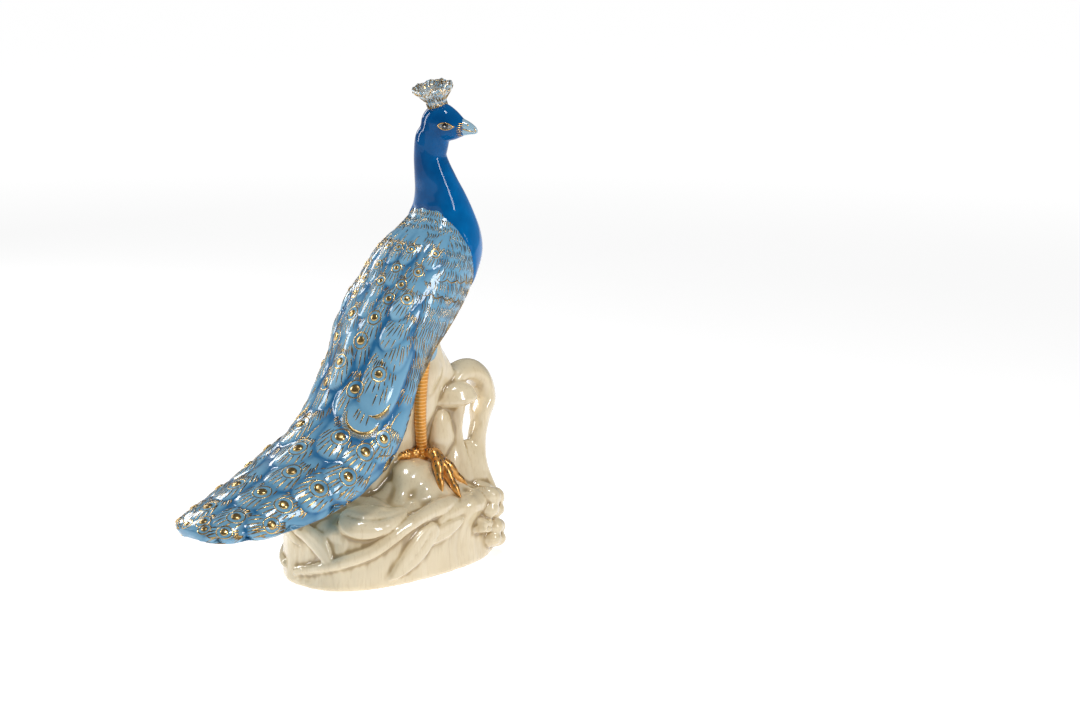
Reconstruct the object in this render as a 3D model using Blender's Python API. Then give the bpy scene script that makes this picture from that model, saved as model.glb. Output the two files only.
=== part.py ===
"""A glazed porcelain peacock figurine, standing on a cast stump with a vine, leaves and flowers.

The bird heads along +X and its left side is +Y. The origin is on the flat foot of the base, at the
middle of the foot's oval. Shapes are worked out in millimetres and made in metres.
"""

from typing import NamedTuple

import bmesh
import bpy
import numpy as np
from mathutils import Matrix, Vector

MM = 0.001
GAP = 0.3  # clearance between neighbouring pieces, in mm
PART_CUT = 0.012  # half of the cut across the body, counted in stations

# Base
FOOT_HALF_LENGTH = 97.0
FOOT_HALF_WIDTH = 57.0
FOOT_SQUARENESS = 2.5
WALL_HEIGHT = 45.0
CROWN_RISE = 19.0
BOULDER = (20.0, -10.0, 21.0)  # x, y and height of the lump under the right foot
BOULDER_REACH = (31.0, 27.0)

# Legs and feet
ANKLE = (28.0, 10.0, 88.0)  # of the left leg, and of the right leg with y reversed
HIP = (21.0, 25.0, 172.0)
SHANK_RADIUS = 4.4
CUFF_RADIUS = 11.0
TOES = ((-8.0, 42.0), (-24.0, 41.0), (-47.0, 36.0), (178.0, 27.0))  # heading, length
TOE_RADIUS = 3.3

# Head, in its own frame: forward along the bill, left, up
HEAD_CENTRE = (57.0, -7.0, 350.0)
HEAD_YAW = -65.0
HEAD_PITCH = 9.0
EYE = (5.2, 11.3, 0.6)
EYE_RADII = (7.2, 2.4, 3.1)
CREST_FOOT = (-6.2, 0.0, 13.4)
CREST_LEAN = 25.0  # of the cup's middle line, backwards
CREST_TILT = 20.0  # of its rim, backwards
CREST_ROLL = 0.12  # slope of its rim, down to the right
CREST_HEIGHT = 19.0
CREST_FOOT_RADIUS = 7.8
CREST_RIM_RADIUS = 15.9
CREST_WALL = 1.3
CREST_FLUTES = 9

WING_THICKNESS = 3.6
WING_EDGE = 2.2
WING_SINK = 2.0  # how far the wing's blank reaches into the trunk before it is cut back
WING_FROM, WING_TO = 6.3, 13.2  # in stations of the body

SMALT = (0.0, 0.085, 0.33)
SKY = (0.17, 0.42, 0.68)
PALE_BLUE = (0.42, 0.66, 0.8)
GOLD = (0.85, 0.5, 0.16)
CREAM = (0.78, 0.71, 0.54)
BLACK = (0.01, 0.01, 0.012)


class Station(NamedTuple):
    """A cross-section of the body, in the plane that holds the Y axis and the dorsal direction."""

    x: float  # middle of the line between the two sides
    y: float
    z: float
    lean: float  # dorsal direction, in degrees from straight up towards the tail
    half_width: float
    rise: float  # from the side line up to the back
    drop: float  # from the side line down to the belly, negative where the train is hollow
    rim: float  # thickness of the side edge


# From under the head, down the neck, through breast and trunk, to the end of the train.
BODY = (
    Station(55.5, -1.5, 353.0, 90, 8.0, 8.5, 8.5, 0.6),
    Station(54.0, 2.2, 343.0, 90, 11.6, 12.4, 11.8, 0.6),
    Station(53.2, 3.0, 326.0, 90, 13.2, 13.6, 13.6, 0.6),
    Station(55.6, 1.0, 308.5, 88, 16.2, 16.2, 17.0, 0.6),
    Station(59.3, 0.0, 294.5, 86, 19.8, 19.0, 21.8, 0.6),
    Station(61.6, 0.0, 280.5, 83, 24.8, 23.0, 27.2, 0.6),
    Station(59.5, 0.0, 267.0, 79, 31.8, 32.0, 34.4, 0.8),
    Station(52.8, 0.0, 254.2, 75, 38.0, 39.6, 40.5, 1.0),
    Station(40.5, 0.0, 238.0, 73, 42.5, 43.0, 43.0, 1.0),
    Station(26.7, 0.0, 219.3, 73, 44.5, 43.5, 43.0, 1.0),
    Station(11.5, 0.0, 200.6, 71, 45.0, 41.5, 40.0, 1.5),
    Station(-1.5, 0.0, 182.0, 66, 44.5, 39.5, 31.0, 2.5),
    Station(-8.0, 0.0, 158.0, 57, 44.0, 43.0, 10.0, 4.0),
    Station(-18.0, 0.0, 134.0, 52, 45.0, 45.0, -12.0, 6.0),
    Station(-38.0, 0.0, 105.0, 47, 48.0, 46.0, -24.0, 7.0),
    Station(-68.0, 0.0, 86.0, 41, 51.5, 43.5, -25.0, 7.0),
    Station(-98.0, 0.0, 74.5, 35, 52.0, 38.5, -23.0, 7.0),
    Station(-130.0, 0.0, 67.0, 32, 49.0, 32.0, -19.0, 7.0),
    Station(-160.0, 0.0, 63.5, 27, 43.0, 24.0, -13.0, 7.0),
    Station(-186.0, 0.0, 63.5, 22, 35.5, 15.0, -6.0, 7.0),
    Station(-201.0, 0.0, 64.5, 18, 26.5, 8.0, -1.0, 7.0),
    Station(-208.5, 0.0, 65.0, 16, 13.0, 4.5, 0.5, 6.0),
)
NECK_TO = 5.6
TRUNK_TO = 12.0
TRAIN_MID = 15.6
TRAIN_TO = 21.0


class HeadSection(NamedTuple):
    """A section across the head or the bill, in the head's frame."""

    forward: float
    up: float
    half_height: float
    half_width: float


SKULL = (
    HeadSection(-17.6, 0.0, 2.0, 2.0),
    HeadSection(-16.2, 0.3, 7.0, 5.8),
    HeadSection(-12.5, 0.8, 11.8, 9.4),
    HeadSection(-6.5, 1.0, 15.2, 12.0),
    HeadSection(0.5, 0.8, 16.4, 12.8),
    HeadSection(7.0, 0.8, 14.6, 12.0),
    HeadSection(11.8, 0.6, 11.8, 10.0),
    HeadSection(15.2, 0.7, 8.7, 7.6),
    HeadSection(17.9, 0.8, 6.5, 5.6),
)
BILL = (
    HeadSection(18.2, 0.8, 6.3, 5.4),
    HeadSection(21.4, 0.9, 5.2, 4.5),
    HeadSection(25.0, 0.2, 3.9, 3.4),
    HeadSection(28.0, -0.9, 2.5, 2.2),
    HeadSection(30.2, -2.4, 0.9, 0.8),
)


def spline(rows, at):
    """Catmull-Rom values of evenly numbered rows, at positions counted in rows."""
    rows = np.asarray(rows, float)
    at = np.atleast_1d(np.asarray(at, float))
    padded = np.vstack([2 * rows[0] - rows[1], rows, 2 * rows[-1] - rows[-2]])
    first = np.clip(np.floor(at).astype(int), 0, len(rows) - 2)
    t = (at - first)[:, None]
    p0, p1, p2, p3 = (padded[first + k] for k in range(4))
    cubic = 3 * p1 - p0 - 3 * p2 + p3
    square = 2 * p0 - 5 * p1 + 4 * p2 - p3
    return 0.5 * (2 * p1 + (p2 - p0) * t + square * t**2 + cubic * t**3)


def body_surface(along, around):
    """Points of the body, for station numbers and angles from the left side over the back."""
    along, around = np.broadcast_arrays(along, around)
    values = spline(BODY, along.ravel()).T.reshape(-1, *along.shape)
    x, y, z, lean, width, rise, drop, rim = values
    cosine, sine = np.cos(around), np.sin(around)
    side = np.where(sine >= 0, width, width - rim / 2) * cosine
    height = np.where(sine >= 0, rise * sine, -drop * np.abs(sine) - 0.6 * rim)
    lean = np.radians(lean)
    return np.stack([x - np.sin(lean) * height, y + side, z + np.cos(lean) * height], axis=-1)


def base_top(x, y):
    """Height of the base's upper side over a point of the floor."""
    reach_x = np.abs(x / FOOT_HALF_LENGTH) ** FOOT_SQUARENESS
    reach_y = np.abs(y / FOOT_HALF_WIDTH) ** FOOT_SQUARENESS
    crown = np.sqrt(np.clip(1 - (reach_x + reach_y) ** (2 / FOOT_SQUARENESS), 0, 1))
    lump = ((x - BOULDER[0]) / BOULDER_REACH[0]) ** 2 + ((y - BOULDER[1]) / BOULDER_REACH[1]) ** 2
    return WALL_HEIGHT + CROWN_RISE * crown + BOULDER[2] * np.exp(-(lump**2))


def base_surface(turn, climb):
    """Points of the base: climb 0 to 1 goes up the wall, 1 to 2 over the crown to its middle."""
    turn, climb = np.broadcast_arrays(turn, climb)
    cosine, sine = np.cos(turn), np.sin(turn)
    power = 2 / FOOT_SQUARENESS
    inward = np.cos(np.radians(90) * np.clip(climb - 1, 0, 1))
    x = FOOT_HALF_LENGTH * np.sign(cosine) * np.abs(cosine) ** power * inward
    y = FOOT_HALF_WIDTH * np.sign(sine) * np.abs(sine) ** power * inward
    top = base_top(x, y)
    wall = np.clip(climb, 0, 1)
    bulge = 1 + np.sin(np.pi * wall) * (0.03 * np.cos(3 * turn + 0.6) + 0.015 * np.cos(7 * turn))
    return np.stack([x * bulge, y * bulge, wall * top], axis=-1)


def surface_normals(surface, one, two, step=0.01):
    """Unit normals of a surface of two parameters, from its slopes along them."""
    slope_one = surface(one + step, two) - surface(one - step, two)
    slope_two = surface(one, two + step) - surface(one, two - step)
    normals = np.cross(slope_one, slope_two)
    return normals / np.linalg.norm(normals, axis=-1)[..., None]


def tube_rings(path, radii, sides):
    """Rings of points round a path, carried along it without twist."""
    path = np.asarray(path, float)
    tangents = np.gradient(path, axis=0)
    tangents /= np.linalg.norm(tangents, axis=1)[:, None]
    angles = 2 * np.pi * np.arange(sides) / sides
    across = np.cross(tangents[0], (0.3, 0.2, 0.9))
    rings = []
    for point, tangent, radius in zip(path, tangents, np.broadcast_to(radii, len(path))):
        across = across - tangent * (across @ tangent)
        across = across / np.linalg.norm(across)
        upward = np.cross(tangent, across)
        ring = np.outer(np.cos(angles), across) + np.outer(np.sin(angles), upward)
        rings.append(point + radius * ring)
    return np.array(rings)


def glaze(name, colour, roughness=0.15, metallic=0.0):
    """A material of one colour."""
    material = bpy.data.materials.get(name) or bpy.data.materials.new(name)
    material.use_nodes = True
    shader = material.node_tree.nodes["Principled BSDF"]
    shader.inputs["Base Color"].default_value = (*colour, 1.0)
    shader.inputs["Roughness"].default_value = roughness
    shader.inputs["Metallic"].default_value = metallic
    return material


def make_object(name, mesh_data, material=None, frame=None):
    """Turn a bmesh in millimetres into a smooth shaded object with its faces outwards."""
    bmesh.ops.remove_doubles(mesh_data, verts=mesh_data.verts, dist=0.02)
    bmesh.ops.triangulate(mesh_data, faces=mesh_data.faces)
    bmesh.ops.recalc_face_normals(mesh_data, faces=mesh_data.faces)
    bmesh.ops.scale(mesh_data, vec=Vector((MM, MM, MM)), verts=mesh_data.verts)
    mesh = bpy.data.meshes.new(name)
    mesh_data.to_mesh(mesh)
    mesh_data.free()
    mesh.shade_smooth()
    item = bpy.data.objects.new(name, mesh)
    bpy.context.collection.objects.link(item)
    item.parent = frame
    if material:
        mesh.materials.append(material)
    return item


def rings_mesh(rings, tip=None):
    """A closed body through rings of points, with flat ends, or a point at the last end."""
    data = bmesh.new()
    rows = [[data.verts.new(point) for point in ring] for ring in rings]
    for one, two in zip(rows, rows[1:]):
        for k in range(len(one)):
            after = (k + 1) % len(one)
            data.faces.new((one[k], one[after], two[after], two[k]))
    data.faces.new(rows[0])
    if tip is None:
        data.faces.new(rows[-1])
    else:
        point = data.verts.new(tip)
        for k in range(len(rows[-1])):
            data.faces.new((rows[-1][k], rows[-1][(k + 1) % len(rows[-1])], point))
    return data


def shell_mesh(inner, outer):
    """A closed body between two grids of points of the same size, joined along their edges."""
    data = bmesh.new()
    count_a, count_b = inner.shape[:2]
    sheets = [[[data.verts.new(point) for point in row] for row in grid] for grid in (inner, outer)]
    for sheet in sheets:
        for a in range(count_a - 1):
            for b in range(count_b - 1):
                data.faces.new((sheet[a][b], sheet[a + 1][b], sheet[a + 1][b + 1], sheet[a][b + 1]))
    border = [(a, 0) for a in range(count_a)] + [(count_a - 1, b) for b in range(1, count_b)]
    border += [(a, count_b - 1) for a in range(count_a - 2, -1, -1)]
    border += [(0, b) for b in range(count_b - 2, 0, -1)]
    for one, two in zip(border, border[1:] + border[:1]):
        corners = [sheets[0][one[0]][one[1]], sheets[0][two[0]][two[1]]]
        corners += [sheets[1][two[0]][two[1]], sheets[1][one[0]][one[1]]]
        data.faces.new(corners)
    return data


def helper(item):
    """Mark an object as a tool for Boolean modifiers."""
    item.hide_render = True
    item.display_type = "WIRE"
    return item


def grown(item, amount=GAP):
    """A tool of an object's own shape, before it was cut, larger by an amount all round."""
    data = bmesh.new()
    data.from_mesh(item.data)
    data.transform(item.matrix_world)
    data.normal_update()
    moves = [vertex.normal * min(vertex.calc_shell_factor(), 2.0) for vertex in data.verts]
    for vertex, move in zip(data.verts, moves):
        vertex.co += move * amount * MM
    mesh = bpy.data.meshes.new("tool_" + item.name)
    data.to_mesh(mesh)
    data.free()
    tool = bpy.data.objects.new("tool_" + item.name, mesh)
    bpy.context.collection.objects.link(tool)
    return helper(tool)


def boolean(item, tool, operation):
    """Put a Boolean with a tool on an object."""
    modifier = item.modifiers.new(tool.name, "BOOLEAN")
    modifier.operation = operation
    modifier.object = tool
    modifier.solver = "EXACT"


def clear_of(item, *neighbours):
    """Cut an object back from its neighbours, so that a gap is left."""
    bpy.context.view_layer.update()
    for neighbour in neighbours:
        boolean(item, grown(neighbour), "DIFFERENCE")


def body_length(name, start, end, rings, sides, material):
    """One length of the body between two stations."""
    around = 2 * np.pi * np.arange(sides) / sides
    points = body_surface(np.linspace(start + PART_CUT, end - PART_CUT, rings)[:, None], around)
    return make_object(name, rings_mesh(points), material)


def build_head(neck):
    """Head, bill, eyes and crest, in the head's own frame."""
    frame = bpy.data.objects.new("head_frame", None)
    bpy.context.collection.objects.link(frame)
    frame.location = Vector(HEAD_CENTRE) * MM
    frame.rotation_euler = (0.0, np.radians(HEAD_PITCH), np.radians(HEAD_YAW))
    around = 2 * np.pi * np.arange(16) / 16

    def loft(sections, rings):
        places = np.linspace(0, len(sections) - 1, rings)
        forward, up, height, width = spline(sections, places).T[:, :, None]
        column = np.ones_like(around)[None, :]
        return np.stack([forward * column, width * np.cos(around), up + height * np.sin(around)], axis=-1)

    head = make_object("head", rings_mesh(loft(SKULL, 11)), glaze("smalt glaze", SMALT), frame)
    bill = make_object("bill", rings_mesh(loft(BILL, 6)), glaze("pale glaze", PALE_BLUE), frame)

    eyes = []
    for name, side in (("eye_left", 1), ("eye_right", -1)):
        data = bmesh.new()
        bmesh.ops.create_uvsphere(data, u_segments=12, v_segments=6, radius=1.0)
        bmesh.ops.scale(data, vec=Vector(EYE_RADII), verts=data.verts)
        bmesh.ops.translate(data, vec=Vector((EYE[0], side * EYE[1], EYE[2])), verts=data.verts)
        eyes.append(make_object(name, data, glaze("eye glaze", BLACK), frame))

    crest = build_crest(frame)
    clear_of(head, *eyes)
    clear_of(crest, head)
    clear_of(neck, head)
    return frame


def build_crest(frame):
    """A fluted cup that flares from the crown of the head to a ruffled rim."""
    around = 2 * np.pi * np.arange(27) / 27
    flutes = np.cos(CREST_FLUTES * around)
    climb = np.array([0.0, 0.35, 0.7, 1.0])

    def ring(level, inset):
        flare = CREST_FOOT_RADIUS + (CREST_RIM_RADIUS - CREST_FOOT_RADIUS) * level**1.6
        radius = (flare - inset) * (1 + 0.05 * level * flutes)
        height = level * (CREST_HEIGHT + 0.9 * level * flutes)
        return np.stack([radius * np.cos(around), radius * np.sin(around), height], axis=-1)

    outside = [ring(level, 0.0) for level in climb]
    inside = [ring(level, CREST_WALL) for level in climb[:0:-1]]
    points = np.array(outside + inside)
    lean = np.radians(CREST_LEAN)
    tilt = np.radians(CREST_TILT)
    x = points[..., 0] * np.cos(tilt) - points[..., 2] * np.sin(lean)
    z = points[..., 0] * np.sin(tilt) + points[..., 2] * np.cos(lean) + CREST_ROLL * points[..., 1]
    points = np.stack([x, points[..., 1], z], axis=-1) + np.array(CREST_FOOT)
    return make_object("crest", rings_mesh(points), glaze("crest glaze", PALE_BLUE), frame)


def build_wing(name, side):
    """A folded wing: a shell in low relief on the trunk, from the shoulder to the primaries' tips."""
    along = np.linspace(0.0, 1.0, 11)[:, None]
    across = np.linspace(0.0, 1.0, 6)[None, :]
    station = WING_FROM + (WING_TO - WING_FROM) * along
    lower = -30.0 + 36.0 * np.clip(along / 0.75, 0.0, 1.0) ** 1.3
    upper = 62.0 - 34.0 * along**3
    middle = (lower + upper) / 2
    spread = (upper - lower) / 2 * np.clip(along / 0.22, 0.12, 1.0) ** 0.5
    turn = np.radians(middle + spread * (2 * across - 1))
    turn = turn if side > 0 else np.pi - turn
    swell = (1 - (2 * across - 1) ** 4) * (1 - along**4) * np.clip(along / 0.4, 0, 1) ** 0.7
    thickness = WING_EDGE + WING_THICKNESS * swell
    place = body_surface(station, turn)
    normal = surface_normals(body_surface, station, turn)
    normal = normal * np.sign(normal[..., 1:2]) * side
    inner = place - normal * WING_SINK
    outer = place + normal * (GAP + thickness)[..., None]
    return make_object(name, shell_mesh(inner, outer), glaze("sky glaze", SKY))


def build_leg(side):
    """A shank with its feathered cuff, and a foot of three front toes and a hind toe."""
    name = "left" if side > 0 else "right"
    gold = glaze("gold", GOLD, 0.3, 1.0)
    ankle = np.array(ANKLE) * (1, side, 1)
    hip = np.array(HIP) * (1, side, 1)
    climb = np.linspace(0, 1, 7)[:, None]
    path = ankle + (hip - ankle) * climb + np.array((-5.0, 0, 0)) * np.sin(np.pi * climb)
    radii = SHANK_RADIUS * (1 + 0.22 * np.sin(np.pi * climb[:, 0]))
    radii += (CUFF_RADIUS - SHANK_RADIUS) * climb[:, 0] ** 9
    leg = make_object("leg_" + name, rings_mesh(tube_rings(path, radii, 10)), gold)

    toes = []
    for heading, length in TOES:
        direction = -side * np.radians(heading)
        out = np.linspace(-2.0, length, 5)
        x = ankle[0] + out * np.cos(direction)
        y = ankle[1] + out * np.sin(direction)
        lift = TOE_RADIUS * np.interp(out, (-2, length * 0.8, length), (1.0, 0.8, 0.2)) + GAP
        radii = TOE_RADIUS * np.interp(out, (-2, length * 0.75, length), (1.1, 0.85, 0.25))
        z = np.minimum(base_top(x, y) + lift, ankle[2] - 1.5)
        path = np.stack([x, y, z], axis=-1)
        toe_name = "toe_%s_%d" % (name, len(toes))
        toes.append(make_object(toe_name, rings_mesh(tube_rings(path, radii, 6)), gold))
    foot = toes[0].copy()
    foot.name = "foot_" + name
    bpy.context.collection.objects.link(foot)
    for toe in toes:
        helper(toe)
    for toe in toes[1:]:
        boolean(foot, toe, "UNION")
    clear_of(foot, leg)
    return leg, toes


class Leaf(NamedTuple):
    """A leaf or a root laid on the base: its two ends as a turn in degrees and a climb."""

    name: str
    root: tuple
    tip: tuple
    half_width: float
    bend: float
    thickness: float


LEAVES = (
    Leaf("leaf_side", (-108.0, 1.46), (-152.0, 0.88), 13.0, 2.0, 4.5),
    Leaf("leaf_rear", (-160.0, 1.2), (-193.0, 0.38), 9.0, -2.0, 3.5),
    Leaf("leaf_hanging", (-88.0, 1.22), (-116.0, 0.2), 8.0, 3.0, 3.5),
    Leaf("root_side", (-108.0, 1.02), (-184.0, 0.25), 5.0, 4.0, 4.5),
    Leaf("leaf_far", (72.0, 1.4), (118.0, 0.85), 13.0, -2.0, 4.5),
    Leaf("leaf_far_low", (60.0, 0.95), (84.0, 0.2), 9.0, 2.0, 3.5),
    Leaf("root_far", (92.0, 0.75), (158.0, 0.3), 5.0, -4.0, 4.5),
    Leaf("leaf_front", (12.0, 1.1), (42.0, 0.5), 10.0, -2.0, 4.0),
)
GIRTH = 80.0  # mm of the base's wall for a radian of turn
CLIMB = 55.0  # mm of the base's wall for a climb of one
LEAF_LIFT = 1.2  # from the base's smooth surface to the underside of what lies on it


class Blossom(NamedTuple):
    """An open flower on the base's wall, at a turn in degrees and a climb."""

    name: str
    turn: float
    climb: float
    radius: float
    petals: int


BLOSSOMS = (
    Blossom("blossom_high", -57.0, 0.92, 17.0, 5),
    Blossom("blossom_low", -45.0, 0.30, 13.5, 5),
)


def build_blossom(blossom):
    """Petals round a raised heart, as one disc in relief with a lobed edge."""
    around = 2 * np.pi * np.arange(20)[None, :] / 20
    out = np.array([0.15, 0.5, 0.8, 1.0])[:, None]
    lobes = 0.78 + 0.22 * np.abs(np.cos(blossom.petals * around / 2))

    def sheet(reach, lift):
        sideways = blossom.radius * reach * lobes * np.cos(around)
        upward = blossom.radius * reach * lobes * np.sin(around)
        turn = np.radians(blossom.turn) + sideways / GIRTH
        climb = blossom.climb + upward / CLIMB
        normal = surface_normals(base_surface, turn, climb)
        return base_surface(turn, climb) + normal * lift[..., None]

    relief = 5.0 * np.sin(np.pi * np.clip(out, 0.1, 0.92)) * (0.6 + 0.4 * lobes) + 1.0
    relief += 4.0 * np.exp(-((out / 0.25) ** 2))
    top = sheet(out, LEAF_LIFT + relief)
    under = sheet(out[::-3], np.full((2, 20), LEAF_LIFT))
    return make_object(blossom.name, rings_mesh(np.vstack([top, under])), glaze("cream glaze", CREAM))


def build_leaf(leaf):
    """A shell over a patch of the base, thickest along the midrib."""
    along = np.linspace(0, 1, 7)[:, None]
    across = np.linspace(-1, 1, 5)[None, :]
    run_turn = np.radians(leaf.tip[0] - leaf.root[0]) * GIRTH
    run_climb = (leaf.tip[1] - leaf.root[1]) * CLIMB
    run_length = np.hypot(run_turn, run_climb)
    outline = np.sin(np.pi * np.clip(along, 0.02, 0.98) ** 0.8) ** 0.7
    sideways = leaf.bend * np.sin(np.pi * along) + leaf.half_width * outline * across
    turn = np.radians(leaf.root[0]) + (run_turn * along - run_climb / run_length * sideways) / GIRTH
    climb = leaf.root[1] + (run_climb * along + run_turn / run_length * sideways) / CLIMB
    place = base_surface(turn, climb)
    normal = surface_normals(base_surface, turn, climb)
    arch = 0.7 + leaf.thickness * (1 - np.abs(across) ** 2.2) * outline
    inner = place + normal * LEAF_LIFT
    outer = place + normal * (LEAF_LIFT + arch)[..., None]
    return make_object(leaf.name, shell_mesh(inner, outer), glaze("cream glaze", CREAM))


def build_base():
    """The stump: wall and crown in one closed body on a flat foot."""
    turn = 2 * np.pi * np.arange(30)[None, :] / 30
    climb = np.array([0, 0.4, 0.75, 1.0, 1.2, 1.4, 1.55, 1.7, 1.85])[:, None]
    points = base_surface(turn, climb)
    return make_object("base", rings_mesh(points, base_surface(0.0, 2.0)), glaze("cream glaze", CREAM))


class Level(NamedTuple):
    """A level section through the rock pillar under the breast."""

    z: float
    x: float
    y: float
    half_length: float
    half_width: float


PILLAR = (
    Level(54.0, 8.0, 0.0, 66.0, 4.8),
    Level(80.0, 8.0, 0.0, 64.0, 4.8),
    Level(102.0, 14.0, 0.0, 60.0, 8.0),
    Level(126.0, 26.0, 0.0, 48.0, 14.0),
    Level(152.0, 37.0, 0.0, 36.0, 17.0),
    Level(178.0, 41.0, 0.0, 25.0, 17.0),
    Level(200.0, 45.0, 0.0, 16.0, 14.0),
    Level(214.0, 45.0, 0.0, 10.0, 10.0),
)


def build_pillar():
    """The rock that rises from the crown to carry the breast."""
    turn = 2 * np.pi * np.arange(16) / 16
    levels = spline(PILLAR, np.linspace(0, len(PILLAR) - 1, 9))
    rings = []
    for z, x, y, length, width in levels:
        folds = 1 + 0.05 * np.cos(5 * turn + z / 30) + 0.03 * np.cos(9 * turn - z / 24)
        ring_x = x + length * np.cos(turn) * folds
        ring_y = y + width * np.sin(turn) * folds
        rings.append(np.stack([ring_x, ring_y, np.full_like(turn, z)], axis=-1))
    return make_object("pillar", rings_mesh(rings), glaze("cream glaze", CREAM))


# The vine leaves the pillar, curls over and comes down on the edge of the base.
VINE = (
    (60, 1, 128),
    (70, 3, 141),
    (82, 5, 148),
    (94, 3, 146),
    (103, -4, 136),
    (105, -10, 120),
    (101, -13, 102),
    (97, -15, 84),
    (95, -17, 66),
    (95, -18, 44),
)
VINE_RADII = (8.0, 9.5, 10.0, 10.0, 9.5, 8.0, 6.5, 6.0, 6.0, 6.5)
SPUR = ((-50, 4, 50), (-80, 5, 56), (-108, 6, 58), (-128, 7, 54), (-142, 8, 52))
SPUR_RADII = (17.0, 15.0, 11.0, 9.0, 8.0)
BUD = (68.0, -13.0, 118.0)
BUD_RADII = (17.0, 9.0, 13.0)
BUD_TURN = -20.0  # in degrees


def build_bud():
    """The rounded leaf bud under the vine's arch."""
    data = bmesh.new()
    bmesh.ops.create_uvsphere(data, u_segments=12, v_segments=8, radius=1.0)
    bmesh.ops.scale(data, vec=Vector(BUD_RADII), verts=data.verts)
    turned = Matrix.Rotation(np.radians(BUD_TURN), 3, "Z")
    bmesh.ops.rotate(data, cent=(0, 0, 0), matrix=turned, verts=data.verts)
    bmesh.ops.translate(data, vec=Vector(BUD), verts=data.verts)
    return make_object("bud", data, glaze("cream glaze", CREAM))


def build_tube(name, points, radii, count, sides):
    """A stem through points."""
    place = np.linspace(0, len(points) - 1, count)
    radii = np.interp(place, np.arange(len(points)), np.broadcast_to(radii, len(points)))
    rings = tube_rings(spline(points, place), radii, sides)
    return make_object(name, rings_mesh(rings), glaze("cream glaze", CREAM))


def main():
    """Make every piece and part the ones that touch."""
    for item in list(bpy.data.objects):
        bpy.data.objects.remove(item, do_unlink=True)
    sky = glaze("sky glaze", SKY)
    smalt = glaze("smalt glaze", SMALT)
    neck = body_length("neck", 0.0, NECK_TO, 10, 18, smalt)
    trunk = body_length("trunk", NECK_TO, TRUNK_TO, 11, 24, sky)
    train = body_length("train", TRUNK_TO, TRAIN_MID, 8, 24, sky)
    train_end = body_length("train_end", TRAIN_MID, TRAIN_TO, 9, 24, sky)
    build_head(neck)
    for side, name in ((1, "wing_left"), (-1, "wing_right")):
        clear_of(build_wing(name, side), trunk, train)
    base = build_base()
    legs = []
    toes = []
    for side in (1, -1):
        leg, more_toes = build_leg(side)
        clear_of(leg, trunk, train)
        legs.append(leg)
        toes += more_toes
    clear_of(base, *toes)
    pillar = build_pillar()
    clear_of(pillar, base, trunk, train, *legs)
    vine = build_tube("vine", VINE, VINE_RADII, 15, 8)
    bud = build_bud()
    clear_of(vine, base, pillar)
    clear_of(bud, pillar, vine)
    spur = build_tube("spur", SPUR, SPUR_RADII, 8, 10)
    clear_of(spur, base, pillar, train, train_end)
    for leaf in LEAVES:
        build_leaf(leaf)
    for blossom in BLOSSOMS:
        build_blossom(blossom)


main()
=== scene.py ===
"""A glazed porcelain peacock figurine on its cast stump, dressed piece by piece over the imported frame.

The bird heads along +X and its left side is +Y. Shapes are worked out in millimetres and made in metres.
"""

import logging
from dataclasses import dataclass, field
from enum import Enum
from typing import Callable, Dict, List, NamedTuple, Sequence, Tuple, Union

import bmesh
import bpy
import numpy as np
from mathutils import Matrix, Vector


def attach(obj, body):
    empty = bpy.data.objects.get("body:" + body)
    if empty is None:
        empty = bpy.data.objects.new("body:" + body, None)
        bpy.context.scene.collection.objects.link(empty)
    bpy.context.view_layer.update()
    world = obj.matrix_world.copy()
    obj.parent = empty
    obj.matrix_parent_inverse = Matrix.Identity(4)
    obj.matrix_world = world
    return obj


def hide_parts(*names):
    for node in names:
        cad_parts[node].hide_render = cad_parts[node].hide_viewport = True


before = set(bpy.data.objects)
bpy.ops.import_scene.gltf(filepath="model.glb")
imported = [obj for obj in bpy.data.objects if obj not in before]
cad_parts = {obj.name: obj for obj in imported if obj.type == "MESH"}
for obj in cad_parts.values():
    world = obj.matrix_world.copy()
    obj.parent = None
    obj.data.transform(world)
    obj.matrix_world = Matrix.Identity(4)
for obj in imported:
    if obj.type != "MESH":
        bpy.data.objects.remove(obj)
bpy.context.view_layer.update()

log = logging.getLogger("peacock")

Array = np.ndarray
Rows = Tuple[Tuple[float, ...], ...]
Colour = Tuple[float, float, float]
Place = Tuple[float, float, float]
Surface = Callable[[Array, Array], Array]
Mesh = bpy.types.Mesh
Object = bpy.types.Object
Material = bpy.types.Material
MM = 0.001
CORNER = 0.66  # how far a ribbon's upper corners stand out, as a share of the lower ones'
POLE = 88.0  # tilt of an egg's last ring, in degrees


class Slot(Enum):
    """The record's material slots."""

    CREAM = "cream_glaze"
    SMALT = "smalt_glaze"
    SKY = "sky_glaze"
    PALE = "pale_glaze"
    EYE = "eye_glaze"
    GOLD = "gilding"


# ---- shaping tools


def smoothstep(low: Union[float, Array], high: Union[float, Array], value: Array) -> Array:
    """Ease from 0 at low to 1 at high: with t the clipped fraction, t squared times 3 minus 2 t."""
    t = np.clip((value - low) / (high - low), 0.0, 1.0)
    return t * t * (3.0 - 2.0 * t)


def bell(value: Array) -> Array:
    """A bell curve: e to the power of minus the square."""
    return np.exp(-(value**2))


def stacked(*values: Union[float, Array]) -> Array:
    """Arrays, or numbers, made one shape and joined along a new last axis."""
    return np.stack(np.broadcast_arrays(*values), axis=-1)


def raised(value: Array, power: float) -> Array:
    """A power of a number's size, with the number's sign."""
    return np.sign(value) * np.abs(value) ** power


def unit(vectors: Array) -> Array:
    """Vectors scaled to a length of one."""
    return vectors / np.maximum(np.linalg.norm(vectors, axis=-1, keepdims=True), 1e-9)


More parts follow.
